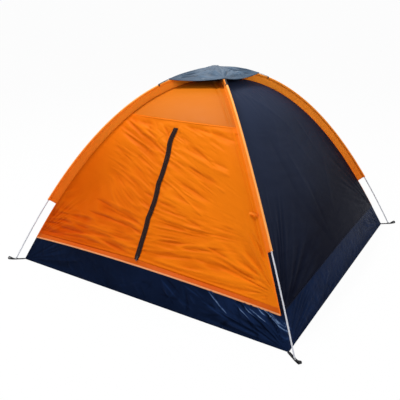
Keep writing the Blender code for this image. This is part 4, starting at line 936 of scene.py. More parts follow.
# Tape: a dull herringbone of 0.5 mm threads, drawn at 1.6 mm.
zip_tape = bpy.data.materials.new("woven_black_zip_tape")
tree = bare_tree(zip_tape)
place = node(tree, "ShaderNodeTexCoord")
weave = node(tree, "ShaderNodeTexWave", {"Vector": place.outputs["UV"], "Scale": WAVE / 0.0016,
             "Distortion": 1.2}, bands_direction="DIAGONAL")
tone = node(tree, "ShaderNodeValToRGB", {"Fac": weave.outputs["Fac"]},
            stops=((0.0, "#1A0E0C"), (1.0, "#33201C")))
ribbed = node(tree, "ShaderNodeBump", {"Height": weave.outputs["Fac"], "Distance": 0.00012,
              "Strength": 0.7})
skin = node(tree, "ShaderNodeBsdfPrincipled", {"Base Color": tone.outputs[0],
            "Roughness": 0.75, "Specular IOR Level": 0.1, "Normal": ribbed.outputs[0]})
node(tree, "ShaderNodeOutputMaterial", {"Surface": skin.outputs[0]})

# Teeth: dark moulded nylon with a soft shine, mottled by the slider that runs over it.
coil_nylon = bpy.data.materials.new("moulded_grey_nylon_coil")
tree = bare_tree(coil_nylon)
place = node(tree, "ShaderNodeTexCoord")
mottle = node(tree, "ShaderNodeTexNoise", {"Vector": place.outputs["Object"], "Scale": 240.0,
              "Detail": 2.0})
tone = node(tree, "ShaderNodeValToRGB", {"Fac": mottle.outputs["Fac"]},
            stops=((0.0, "#241614"), (1.0, "#46322C")))
skin = node(tree, "ShaderNodeBsdfPrincipled", {"Base Color": tone.outputs[0],
            "Roughness": 0.42, "IOR": 1.53, "Specular IOR Level": 0.2})
node(tree, "ShaderNodeOutputMaterial", {"Surface": skin.outputs[0]})

# Thread: two strands twisted together, so that its tone changes in short slanting dashes.
thread_black = bpy.data.materials.new("twisted_black_thread")
thread_orange = bpy.data.materials.new("twisted_orange_thread")
thread_navy = bpy.data.materials.new("twisted_navy_thread")
for thread, dark, light in ((thread_black, "#1A181B", "#3A363A"),
                            (thread_orange, "#CC5A0C", "#E6822C"),
                            (thread_navy, "#1A2036", "#39425C")):
    tree = bare_tree(thread)
    place = node(tree, "ShaderNodeTexCoord")
    twist = node(tree, "ShaderNodeTexWave", {"Vector": place.outputs["Object"],
                 "Scale": WAVE / 0.0009, "Distortion": 2.0}, bands_direction="DIAGONAL")
    tone = node(tree, "ShaderNodeValToRGB", {"Fac": twist.outputs["Fac"]},
                stops=((0.0, dark), (1.0, light)))
    skin = node(tree, "ShaderNodeBsdfPrincipled", {"Base Color": tone.outputs[0],
                "Roughness": 0.6, "Specular IOR Level": 0.15})
    node(tree, "ShaderNodeOutputMaterial", {"Surface": skin.outputs[0]})


def new_rule(name, sizes):
    """An empty Geometry Nodes tree that takes lines, its named sizes and a material."""
    rule = bpy.data.node_groups.new(name, "GeometryNodeTree")
    sockets = [("Geometry", "Geometry"), *((size, "Float") for size in sizes),
               ("Material", "Material")]
    for title, kind in sockets:
        rule.interface.new_socket(title, in_out="INPUT", socket_type=f"NodeSocket{kind}")
    rule.interface.new_socket("Geometry", in_out="OUTPUT", socket_type="NodeSocketGeometry")
    return rule


# One rule lays stitches, zip teeth and webbing ribs: small pads spaced along a line, each
# turned to the line's run and to the face of the cloth below it.
follow = new_rule("pads_along_a_line", ("Pitch", "Length", "Width", "Height"))
given = node(follow, "NodeGroupInput")
lines = node(follow, "GeometryNodeMeshToCurve", {"Mesh": given.outputs["Geometry"]})
spaced = node(follow, "GeometryNodeResampleCurve", {"Curve": lines.outputs["Curve"],
              "Length": given.outputs["Pitch"]}, mode="LENGTH")
pad = node(follow, "GeometryNodeMeshIcoSphere", {"Radius": 0.5, "Subdivisions": 1})
run = node(follow, "GeometryNodeInputTangent")
face = node(follow, "GeometryNodeInputNamedAttribute", {"Name": "facing"},
            data_type="FLOAT_VECTOR")
turn = node(follow, "FunctionNodeAxesToRotation", {"Primary Axis": run.outputs["Tangent"],
            "Secondary Axis": face.outputs["Attribute"]}, primary_axis="X", secondary_axis="Z")
size = node(follow, "ShaderNodeCombineXYZ", {"X": given.outputs["Length"],
            "Y": given.outputs["Width"], "Z": given.outputs["Height"]})
laid = node(follow, "GeometryNodeInstanceOnPoints", {"Points": spaced.outputs["Curve"],
            "Instance": pad.outputs["Mesh"], "Rotation": turn.outputs["Rotation"],
            "Scale": size.outputs["Vector"]})
solid = node(follow, "GeometryNodeRealizeInstances", {"Geometry": laid.outputs["Instances"]})
dyed = node(follow, "GeometryNodeSetMaterial", {"Geometry": solid.outputs["Geometry"],
            "Material": given.outputs["Material"]})
node(follow, "NodeGroupOutput", {"Geometry": dyed.outputs["Geometry"]})


def made_plain(name, source, rule, values, material, body):
    """Runs a rule on a source object and keeps its result as a plain mesh piece."""
    modifier = source.modifiers.new("rule", "NODES")
    modifier.node_group = rule
    for socket in rule.interface.items_tree:
        if socket.in_out == "INPUT" and socket.name in values:
            modifier[socket.identifier] = values[socket.name]
    bpy.context.view_layer.update()
    evaluated = source.evaluated_get(bpy.context.evaluated_depsgraph_get())
    mesh = bpy.data.meshes.new_from_object(evaluated)
    bpy.data.objects.remove(source, do_unlink=True)
    mesh.name = name
    mesh.materials.clear()
    mesh.materials.append(material)
    mesh.shade_smooth()
    piece = bpy.data.objects.new(name, mesh)
    bpy.context.scene.collection.objects.link(piece)
    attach(piece, body)
    return piece


def guide(name, lines):
    """An object of bare lines: each has its points and the way that its pads face."""
    points = np.concatenate([line for line, _ in lines])
    facing = np.concatenate([np.broadcast_to(f, line.shape) for line, f in lines])
    edges, first = [], 0
    for line, _ in lines:
        edges += [(first + k, first + k + 1) for k in range(len(line) - 1)]
        first += len(line)
    mesh = bpy.data.meshes.new(name)
    mesh.from_pydata([tuple(p) for p in points], edges, [])
    layer = mesh.attributes.new("facing", "FLOAT_VECTOR", "POINT")
    layer.data.foreach_set("vector", np.asarray(facing, dtype=np.float32).ravel())
    source = bpy.data.objects.new(name, mesh)
    bpy.context.scene.collection.objects.link(source)
    return source


def pads(name, lines, size, pitch, material, body):
    """Small pads of a length, width and height, spaced by pitch along (line, facing) rows."""
    length, width, height = size
    values = {"Pitch": pitch, "Length": length, "Width": width, "Height": height,
              "Material": material}
    return made_plain(name, guide(name + "_lines", lines), follow, values, material, body)


def strip_along(name, line, sideways, facing, outline, material, body):
    """A band whose outline of (sideways, outward) points is carried along a line."""
    sideways, facing = (np.broadcast_to(v, line.shape) for v in (sideways, facing))
    outline = np.asarray(outline, dtype=float)
    count = len(outline)
    rings = (line[:, None] + sideways[:, None] * outline[None, :, :1] +
             facing[:, None] * outline[None, :, 1:])
    runs = np.concatenate(([0.0], np.cumsum(np.linalg.norm(np.diff(line, axis=0), axis=1))))
    girth = np.linalg.norm(np.diff(outline, axis=0, append=outline[:1]), axis=1)
    girth = np.concatenate(([0.0], np.cumsum(girth)[:-1]))
    uv = np.stack(np.meshgrid(girth, runs), axis=-1).reshape(-1, 2)
    faces = []
    for i in range(len(line) - 1):
        for k in range(count):
            after = (k + 1) % count
            faces.append((i * count + k, i * count + after,
                          (i + 1) * count + after, (i + 1) * count + k))
    faces.append(tuple(range(count)))
    faces.append(tuple(range((len(line) - 1) * count, len(line) * count)))
    return add_piece(name, rings.reshape(-1, 3), faces, material, body, uv, sharp=35.0)


for side, stagger in (("left", 0), ("right", 1)):
    body = f"door_{side}"
    zip_length = np.linalg.norm(door_top - door_foot)
    hem_length = np.linalg.norm(door_lows[side] - door_foot)
    up, hem = unit(door_top - door_foot), unit(door_lows[side] - door_foot)
    normal = unit(np.cross(hem, up))
    normal *= -np.sign(normal[1])
    across = np.cross(up, normal)
    across *= np.sign(across.dot(hem))
    rise = np.cross(hem, normal)
    rise *= np.sign(rise.dot(up))
    runs = np.linspace(ZIP_START, zip_length - ZIP_END, 190)
    base = door_foot + up * runs[:, None]
    base[:, 0] += bowed(base[:, 2])
    lift = front_relief(base + across * 0.006) * ramp(runs, 0.0, 0.03)
    base = base + normal * lift[:, None]
    floor_level, tape_top = FABRIC / 2 + GAP - 0.0006, FABRIC / 2 + GAP + TAPE
    outline = [(0.0004, floor_level), (TAPE_WIDTH, floor_level), (TAPE_WIDTH, tape_top - 0.0002),
               (TAPE_WIDTH - 0.0006, tape_top), (0.0004, tape_top)]
    tape = strip_along(f"door_zip_tape_{side}", base, across, normal, outline, zip_tape, body)
    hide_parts(f"door_zip_{side}")
    teeth = (base + across * 0.0017 + normal * (tape_top + TOOTH_LIFT) +
             up * (TOOTH_PITCH / 2 * stagger))
    pads(f"door_zip_teeth_{side}", [(teeth, normal)], TOOTH, TOOTH_PITCH, coil_nylon, body)
    rows = [(base + across * x + normal * tape_top, normal) for x in TAPE_ROWS]
    pads(f"door_zip_stitches_{side}", rows, STITCH, pitch=0.0045, material=thread_black,
         body=body)

    runs = np.linspace(ZIP_START, hem_length - HEM_END, 150)
    base = door_foot + hem * runs[:, None]
    inward = -normal
    outline = [(0.0007, 0.0005), (HEM_TAPE_WIDTH, 0.0005), (HEM_TAPE_WIDTH, tape_top),
               (0.0007, tape_top)]
    tape = strip_along(f"hem_zip_tape_{side}", base, rise, inward, outline, zip_tape, body)
    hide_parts(f"hem_zip_{side}")
    teeth = base + rise * 0.0020 + inward * (tape_top + TOOTH_LIFT)
    pads(f"hem_zip_teeth_{side}", [(teeth, inward)], HEM_TOOTH, TOOTH_PITCH, coil_nylon, body)

    half_line = sill_top[:columns + 1][::-1] if side == "left" else sill_top[columns:]
    low_line = sill_low[:columns + 1][::-1] if side == "left" else sill_low[columns:]
    half_length = np.linalg.norm(half_line[-1] - half_line[0])
    kept = slice(1, int(columns * (hem_length - HEM_END) / half_length))
    line, down = half_line[kept], unit(low_line[kept] - half_line[kept])
    facing = unit(np.cross(down, np.gradient(line, axis=0)))
    facing *= np.sign(facing[:, 1:2])
    outline = [(0.0008, 0.0005), (SILL_TAPE_END, 0.0005), (SILL_TAPE_END, 0.0020),
               (0.0008, 0.0020)]
    tape = strip_along(f"sill_zip_tape_{side}", line, down, facing, outline, zip_tape, "shell")
    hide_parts(f"sill_zip_{side}")
    pads(f"sill_zip_teeth_{side}", [(line + down * 0.0016 + facing * 0.0024, facing)],
         SILL_TOOTH, TOOTH_PITCH, coil_nylon, "shell")


# Sliders and pulls. The model's solids are kept. They are cast zinc under a thin black
# lacquer that has worn to grey on the edges, and each pull swings on its slider's bridge.
def refinish(material, *names):
    """Gives solids of the model, which stay as they are, a material of their own."""
    for name in names:
        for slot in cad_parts[name].material_slots:
            slot.material = material


lacquered = bpy.data.materials.new("black_lacquered_zinc")
tree = bare_tree(lacquered)
place = node(tree, "ShaderNodeTexCoord")
wear_and_painted_crease_shading = node(tree, "ShaderNodeTexNoise", {"Vector": place.outputs["Object"], "Scale": 520.0,
            "Detail": 4.0, "Roughness": 0.6})
tone = node(tree, "ShaderNodeValToRGB", {"Fac": wear_and_painted_crease_shading.outputs["Fac"]},
            stops=((0.45, "#222226"), (0.75, "#6C6C70")))
skin = node(tree, "ShaderNodeBsdfPrincipled", {"Base Color": tone.outputs[0],
            "Roughness": 0.36, "Metallic": 0.4})
node(tree, "ShaderNodeOutputMaterial", {"Surface": skin.outputs[0]})
refinish(lacquered, "door_slider", "door_pull", "hem_slider_left", "hem_slider_right",
         "hem_pull_left", "hem_pull_right")


# Pole sleeves. A strip of the orange cloth is wrapped round the pole and felled back on
# itself, so each pole stands off the ridge seam by the width of a flat band. The cloth
# puckers across the band, and the open lower end is turned back and stitched.
SLEEVE_START = {"front_left": 0.515, "front_right": 0.560, "rear_right": 0.480,
                "rear_left": 0.515}
SLEEVE_R, SLEEVE_ROWS = 0.0072, (-0.0105, -0.0125)
# Painted light: the sleeves' cloth is the front's orange painted brighter, and paler higher up,
# for the light that the round sleeves catch.
sleeve_nylon = coated_cloth("proofed_orange_nylon_painted_brighter", "#F07010", "#FF982A", NYLON_THREAD,
                            gloss=0.5, shine=0.08, crinkle=0.0014, lean=(0.1, 0.0, 0.6),
                            level=0.0)
# A painted highlight: a pale line is painted along the crest of the sleeve, where the cloth is
# tightest over the round pole and catches the light.
tree = sleeve_nylon.node_tree
place = tree.nodes["Texture Coordinate"]
split = node(tree, "ShaderNodeSeparateXYZ", {"Vector": place.outputs["UV"]})
crest = SLEEVE_DROP - SLEEVE_R + SLEEVE_R * math.pi
off_crest = node(tree, "ShaderNodeMath", {0: split.outputs["X"], 1: crest}, operation="SUBTRACT")
off_crest = node(tree, "ShaderNodeMath", {0: off_crest.outputs[0]}, operation="ABSOLUTE")
painted_crest_highlight = node(tree, "ShaderNodeMapRange", {"Value": off_crest.outputs[0], "From Min": 0.0035,
              "From Max": 0.0095, "To Min": 0.75, "To Max": 0.0})
pale = node(tree, "ShaderNodeMix", {0: painted_crest_highlight.outputs[0], 6: tree.nodes["dye_and_painted_light"].outputs["Color"],
            7: linear("#FFB468")}, data_type="RGBA")
tree.links.new(pale.outputs[2], tree.nodes["Principled BSDF"].inputs["Base Color"])
for number, (name, corner) in enumerate(corners.items()):
    start, end = SLEEVE_START[name], corner.half - VENT_REACH
    runs = np.linspace(start, end, 118)
    centre, sideways, outward = corner.at(runs)
    band = np.linspace(-SLEEVE_DROP + 0.0002, -SLEEVE_R, 12)
    turn = -math.pi / 2 + np.linspace(0.0, 2 * math.pi, 25)[1:]
    hem = 1.0 + 0.13 * (1 - ramp(runs, start + 0.008, start + 0.014))
    profile_x = np.concatenate((np.zeros(12), np.cos(turn) * SLEEVE_R))
    profile_h = np.concatenate((band, np.sin(turn) * SLEEVE_R))
    # Each cross-section goes up the band and once round the pole. wrap holds its flat places.
    wrap = np.concatenate((band + SLEEVE_DROP,
                           SLEEVE_DROP - SLEEVE_R + SLEEVE_R * (turn + math.pi / 2)))
    x, y = np.meshgrid(wrap, runs - start)
    far_corner = (0.046, end - start)
    pucker = crumple(x, y, (0.0, 0.0), far_corner, heading=4, spread=16, count=70,
                     length=0.045, width=0.008, height=0.0022, seed=101 + number)
    pucker += crumple(x, y, (0.0, 0.0), far_corner, heading=86, spread=10, count=14,
                      length=0.30, width=0.010, height=0.0018, seed=111 + number)
    pucker *= ramp(x, 0.0, 0.010) * (1 - ramp(x, 0.036, 0.050)) * 0.8
    grow = np.where(np.arange(len(wrap))[None] >= 12, hem[:, None], 1.0)
    points = (centre[:, None] + sideways[:, None] * (profile_x[None] * grow + pucker)[..., None] +
              outward[:, None] * (profile_h[None] * grow)[..., None])
    uv = np.stack((x, y), axis=-1)
    sleeve = add_sheet(f"sleeve_cloth_{name}", [(points, uv, pucker)], sleeve_nylon, "shell",
                       STOUT_CLOTH)
    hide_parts(f"pole_sleeve_{name}")
    rows = []
    for height in SLEEVE_ROWS:
        for face in (-1, 1):
            rows.append((centre + outward * height + sideways * (face * 0.0006),
                         sideways * float(face)))
    pads(f"sleeve_stitches_{name}", rows, size=(0.0032, 0.0008, 0.0008), pitch=0.0050,
         material=thread_orange, body="shell")


# Door tie-back. A short loop of the sleeve's cloth, sewn into the right-hand ridge seam,
# holds the rolled door when it is open. It hangs empty while the door is shut.
TIE_BACK_RUN, TIE_BACK_HALF, TIE_BACK_THICK = 0.77, 0.0065, 0.0014
shares = np.linspace(0.996, 0.958, 26)
line = front_wall.surface(TIE_BACK_RUN, shares)[0]
along_loop = np.linspace(0.0, 1.0, 26)[:, None]
line = line + front_face * (0.0026 + 0.0075 * np.sin(np.pi * along_loop) ** 0.7)
line[:, 2] -= 0.004 * along_loop[:, 0] ** 2
loop_up = unit(np.cross(front_face, np.gradient(line, axis=0)))
loop_out = unit(np.cross(np.gradient(line, axis=0), loop_up))
loop_out *= np.sign(loop_out @ front_face)[:, None]
outline = [(-TIE_BACK_HALF, 0.0), (TIE_BACK_HALF, 0.0), (TIE_BACK_HALF, 0.0009),
           (0.0058, TIE_BACK_THICK), (-0.0058, TIE_BACK_THICK), (-TIE_BACK_HALF, 0.0009)]
strip_along("door_tie_back", line, loop_up, loop_out, outline, sleeve_nylon, "shell")
rows = [(line + loop_up * x + loop_out * TIE_BACK_THICK, loop_out) for x in (-0.0045, 0.0045)]
pads("tie_back_stitches", rows, size=(0.0026, 0.0007, 0.0007), pitch=0.0042,
     material=thread_orange, body="shell")


# Seams. Every panel is felled to the next: both edges are turned in, laid over and sewn
# with two rows, which leaves a flat raised welt along each join.
def welt(name, wall, run, shares, width, height, material, thread):
    """A welt of a width and height on a wall, along one run, with its two rows of thread."""
    line = wall.surface(run, shares)[0]
    above = wall.surface(run + 0.02, shares)[0]
    along = unit(np.gradient(line, axis=0))
    facing = unit(np.cross(along, above - line))
    facing *= np.sign(facing @ wall.out)[:, None]
    sideways, half = unit(np.cross(facing, along)), width / 2
    outline = [(-half, -0.0003), (-half + 0.0004, height * 0.8), (-half + 0.0012, height),
               (half - 0.0012, height), (half - 0.0004, height * 0.8), (half, -0.0003)]
    strip_along(name, line, sideways, facing, outline, material, "shell")
    rows = [(line + sideways * x + facing * height, facing)
            for x in (-half + 0.0022, half - 0.0022)]
    pads(name + "_stitches", rows, STITCH, STITCH_PITCH, thread, "shell")


welt("cross_seam", front_wall, front_wall.seam_run, np.linspace(0.004, 0.996, 150),
     width=0.010, height=0.0011, material=orange_nylon, thread=thread_orange)
for name, wall, cloth, thread, slot in (
        ("front", front_wall, binding, thread_orange, "orange_nylon"),
        ("right", right_wall, navy_nylon, thread_navy, "navy_nylon"),
        ("rear", rear_wall, orange_nylon, thread_orange, "orange_nylon"),
        ("left", left_wall, navy_nylon, thread_navy, "navy_nylon")):
    welt(f"tub_seam_{name}", wall, wall.tub_run, np.linspace(0.002, 0.998, 220), width=0.009,
         height=0.0014, material=cloth, thread=thread)

for name, corner in corners.items():
    runs = np.linspace(corner.run_at_height(TUB_CORNER_HEIGHT),
                       corner.half - VENT_REACH + VENT_HEM, 200)
    point, sideways, outward = corner.at(runs)
    line = point - outward * SLEEVE_DROP
    outline = [(-0.0045, -0.0042), (-0.0030, -0.0012), (0.0, 0.0009), (0.0030, -0.0012),
               (0.0045, -0.0042), (0.0, -0.0040)]
    strip_along(f"ridge_seam_{name}", line, sideways, outward, outline, sleeve_nylon, "shell")
    rows = [(line + sideways * x - outward * 0.0012, unit(outward + sideways * (x * 200)))
            for x in (-0.0028, 0.0028)]
    pads(f"ridge_stitches_{name}", rows, STITCH, STITCH_PITCH, thread_orange, "shell")


# Roof vent. Black mosquito netting, bound into the tops of the four walls, closes the
# hole under the rain cap. Its threads cross every 1.5 mm; they are drawn 10 mm apart, and
# the dull black is greyed here and there by lint.
net_polyester = bpy.data.materials.new("knitted_black_netting")
tree = bare_tree(net_polyester)
place = node(tree, "ShaderNodeTexCoord")
lint = node(tree, "ShaderNodeTexNoise", {"Vector": place.outputs["Object"], "Scale": 160.0,
            "Detail": 3.0})
tone = node(tree, "ShaderNodeValToRGB", {"Fac": lint.outputs["Fac"]},
            stops=((0.0, "#0E0F13"), (1.0, "#262830")))
skin = node(tree, "ShaderNodeBsdfPrincipled", {"Base Color": tone.outputs[0],
            "Roughness": 0.75, "Specular IOR Level": 0.1})
node(tree, "ShaderNodeOutputMaterial", {"Surface": skin.outputs[0]})


def ringed(i, j, place_on, bend):
    """Points of a sheet that hangs from the poles, in rings round their crossing."""
    m = np.maximum(np.abs(i), np.abs(j))
    ends = {name: place_on(name, m) for name in corners}
    front_back = (np.abs(j) >= np.abs(i))[..., None]
    low_j, low_i = (j < 0)[..., None], (i < 0)[..., None]
    left = np.where(front_back, np.where(low_j, ends["front_left"], ends["rear_left"]),
                    np.where(low_i, ends["front_left"], ends["front_right"]))
    right = np.where(front_back, np.where(low_j, ends["front_right"], ends["rear_right"]),
                     np.where(low_i, ends["rear_left"], ends["rear_right"]))
    w = np.where(np.abs(j) >= np.abs(i), i, j) / np.maximum(m, 1e-9)
    w = np.clip(w, -1.0, 1.0)[..., None]
    out = np.where(front_back, np.where(low_j, (0.0, -1.0, 0.0), (0.0, 1.0, 0.0)),
                   np.where(low_i, (-1.0, 0.0, 0.0), (1.0, 0.0, 0.0)))
    return left + (right - left) * (w + 1) / 2 + bend(out, m[..., None]) * (1 - w * w)


def on_ridge(name, m):
    """Where the net meets a ridge, m of the way out from the crossing."""
    corner = corners[name]
    return corner.ridge(corner.half - VENT_REACH * m)


def vent_bend(out, m):
    """How far the net stands out between the ridges, m of the way out."""
    return out * (VENT_BULGE * m) - np.array((0.0, 0.0, VENT_DIP)) * m


NET_SIZE, NET_THREAD = (0.265, 0.255), 0.0012
strands, net_reach = [], 1 - VENT_HEM / VENT_REACH + 0.03
for value in np.linspace(-net_reach, net_reach, 25):
    run = np.linspace(-net_reach, net_reach, 61)
    for i, j in ((run, np.full_like(run, value)), (np.full_like(run, value), run)):
        strands.append((ringed(i, j, on_ridge, vent_bend), UP))
netting = new_rule("threads_of_a_net", ("Thread",))
given = node(netting, "NodeGroupInput")
lines = node(netting, "GeometryNodeMeshToCurve", {"Mesh": given.outputs["Geometry"]})
thread = node(netting, "GeometryNodeCurvePrimitiveCircle", {"Resolution": 4,
              "Radius": given.outputs["Thread"]})
spun = node(netting, "GeometryNodeCurveToMesh", {"Curve": lines.outputs["Curve"],
            "Profile Curve": thread.outputs["Curve"], "Fill Caps": True})
solid = node(netting, "GeometryNodeRealizeInstances", {"Geometry": spun.outputs["Mesh"]})
dyed = node(netting, "GeometryNodeSetMaterial", {"Geometry": solid.outputs["Geometry"],
            "Material": given.outputs["Material"]})
node(netting, "NodeGroupOutput", {"Geometry": dyed.outputs["Geometry"]})
net = made_plain("roof_netting", guide("net_lines", strands), netting,
                 {"Thread": NET_THREAD, "Material": net_polyester}, net_polyester, "shell")
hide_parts("roof_net")


# Rain cap. A square of slate nylon laid over the crossed poles and tied down at its four
# corners. It hangs straight between the poles, its hem is turned twice and stitched, and
# it puckers where the ties pull on it.
CAP_REACH = {"front_left": 0.345, "front_right": 0.275, "rear_right": 0.310, "rear_left": 0.300}
CAP_DROOP, CAP_SIZE = 0.013, (0.46, 0.45)
# Its slate is painted paler towards the right, a painted light where the light falls on it, and
# its puckers are painted paler on their crests and darker in their hollows, as painted highlight
# and shade.
slate_nylon = coated_cloth("proofed_slate_nylon", "#2C3A4A", "#486076", NYLON_THREAD,
                           gloss=0.42, shine=0.2, crinkle=0.002, lean=(0.9, 0.0, 0.0),
                           level=0.42, wear_and_painted_crease_shading=0.34)
# The sleeves' solids are eight-sided tubes with a little room round the pole.
SLEEVE_ROOM, CAP_GAP = 0.0017, 0.0026
sleeve_top = (POLE_R + SLEEVE_ROOM) / math.cos(math.pi / 8) + FABRIC
cap_lift = sleeve_top + CAP_GAP + FABRIC / 2


def on_sleeve(name, m):
    """Where the cap lies on a sleeve, m of the way out from the crossing."""
    corner = corners[name]
    point, _, outward = corner.at(corner.half - CAP_REACH[name] * m)
    lift = cap_lift + (CROSSING_LIFT * (1 - m) if corner.pole is lower_pole else 0.0 * m)
    return point + outward * lift[..., None]


def cap_bend(out, m):
    """How far the cap droops between the sleeves, m of the way out."""
    return np.array((0.0, 0.0, -CAP_DROOP)) * m


shares = np.linspace(-1.0, 1.0, 101)
i, j = np.meshgrid(shares, shares)
smooth = ringed(i, j, on_sleeve, cap_bend)
x, y = smooth[..., 0], smooth[..., 1]
m = np.maximum(np.abs(i), np.abs(j))
relief = np.zeros_like(x)
for number, name in enumerate(corners):
    tip = on_sleeve(name, np.array(1.0))
    relief += 0.0060 * pulled_to(x, y, (tip[0], tip[1]), reach=0.30, pitch=0.013,
                                 seed=121 + number)
relief += 0.0036 * pulled_to(x, y, (0.0, 0.0), reach=0.22, pitch=0.018, seed=131)
relief += crumple(x, y, (-0.2, -0.2), (0.2, 0.2), heading=0, spread=70, count=12, length=0.16,
                  width=0.008, height=0.0024, seed=132)
tip = on_sleeve("front_right", np.array(1.0))
relief -= crease(x, y, (-0.01, 0.01), (tip[0] * 0.75 - 0.01, tip[1] * 0.75), width=0.006,
                 height=0.006)
off_pole = np.abs(np.abs(i) - np.abs(j))
relief = relief * (1 - 0.75 * ramp(m, 0.80, 0.98)) * (0.3 + 0.7 * ramp(off_pole, 0.02, 0.16))
relief = relief + 0.0012 * ramp(0.03 - off_pole, 0.0, 0.03)
# The hem is thicker than the cloth, and sags between the corners.
hem = ramp(m, 0.955, 0.965) * (1 - ramp(m, 0.985, 1.0)) * 0.0012
points = raised(smooth, np.clip(relief, -0.0030, 0.008) + hem, UP)
off_middle = np.minimum(np.abs(i), np.abs(j)) / np.maximum(m, 1e-9)
droop = ramp(m, 0.8, 1.0) * np.clip(1 - off_middle ** 2, 0, 1)
edge = 0.0010 + 0.0006 * np.sin(9.0 * np.where(np.abs(j) >= np.abs(i), i, j) + 1.0)
points[..., 2] -= droop * np.where((i > 0) & (np.abs(i) >= np.abs(j)), 0.0070 - 0.0030 * j, edge)
cap = add_sheet("cap_cloth", [(points, smooth[..., :2], relief)], slate_nylon, "cap",
                STOUT_CLOTH)
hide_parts("rain_cap")
rows = []
for edge in (points[2, 2:-2], points[-3, 2:-2], points[2:-2, 2], points[2:-2, -3]):
    rows.append((edge + UP * 0.0006, UP))
pads("cap_hem_stitches", rows, STITCH, pitch=0.0050, material=thread_black, body="cap")


# Cap ties and corner webbing. Ribbed black polypropylene tape: short ties with a hook that
# grips the pole sleeve, and at each foot a strap from the tub that carries the eyelet for
# the pole's pin and folds back into a peg loop.
# Webbing: dull black with fuzz, and ribs across it every 1.4 mm.
webbing = bpy.data.materials.new("ribbed_black_webbing")
tree = bare_tree(webbing)
place = node(tree, "ShaderNodeTexCoord")
ribs = node(tree, "ShaderNodeTexWave", {"Vector": place.outputs["UV"], "Scale": WAVE / 0.0014,
            "Distortion": 0.3}, bands_direction="Y")
fuzz = node(tree, "ShaderNodeTexNoise", {"Vector": place.outputs["Object"], "Scale": 500.0,
            "Detail": 3.0})
tone = node(tree, "ShaderNodeValToRGB", {"Fac": fuzz.outputs["Fac"]},
            stops=((0.0, "#0B0B0D"), (1.0, "#26262A")))
ribbed = node(tree, "ShaderNodeBump", {"Height": ribs.outputs["Fac"], "Distance": 0.00018,
              "Strength": 0.8})
skin = node(tree, "ShaderNodeBsdfPrincipled", {"Base Color": tone.outputs[0],
            "Roughness": 0.62, "Specular IOR Level": 0.25, "Normal": ribbed.outputs[0]})
node(tree, "ShaderNodeOutputMaterial", {"Surface": skin.outputs[0]})

TIE_LENGTH, TIE_WIDTH, TIE = 0.070, 0.010, 0.0012
HOOK_WIDTH, HOOK_WALL, HOOK_DEPTH = 0.009, 0.0016, 0.004
for name, corner in corners.items():
    start = corner.half - CAP_REACH[name]
    runs = np.linspace(start - TIE_LENGTH, start - 0.0006, 26)
    centre, sideways, outward = corner.at(runs)
    low = sleeve_top + GAP
    climb = (cap_lift - low - TIE / 2) * (runs - runs[0]) / (runs[-1] - runs[0])
    line = centre + outward * (low + climb)[:, None]
    edge = TIE_WIDTH / 2
    outline = [(-edge, 0.0001), (-edge + 0.0004, 0.0), (edge - 0.0004, 0.0), (edge, 0.0001),
               (edge, TIE - 0.0002), (edge - 0.0006, TIE), (-edge + 0.0006, TIE),
               (-edge, TIE - 0.0002)]
    tie = strip_along(f"tie_webbing_{name}", line, sideways, outward, outline, webbing, "cap")
    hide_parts(f"cap_tie_{name}")
    rows = [(line + outward * TIE, outward)]
    pads(f"tie_ribs_{name}", rows, size=(0.0016, 0.0096, 0.0007), pitch=0.0020,
         material=webbing, body="cap")
    runs = np.linspace(runs[0] - HOOK_WIDTH / 2, runs[0] + HOOK_WIDTH / 2, 7)
    centre, sideways, outward = corner.at(runs)
    turn = np.linspace(0.0, math.pi, 13)
    outer_r, inner_r = low + HOOK_WALL, low
    outline = [(math.cos(a) * outer_r, math.sin(a) * outer_r) for a in turn]
    outline += [(-outer_r, -HOOK_DEPTH), (-inner_r, -HOOK_DEPTH)]
    outline += [(math.cos(a) * inner_r, math.sin(a) * inner_r) for a in turn[::-1]]
    outline += [(inner_r, -HOOK_DEPTH), (outer_r, -HOOK_DEPTH)]
    strip_along(f"tie_hook_{name}", centre, sideways, outward, outline, webbing, "cap")

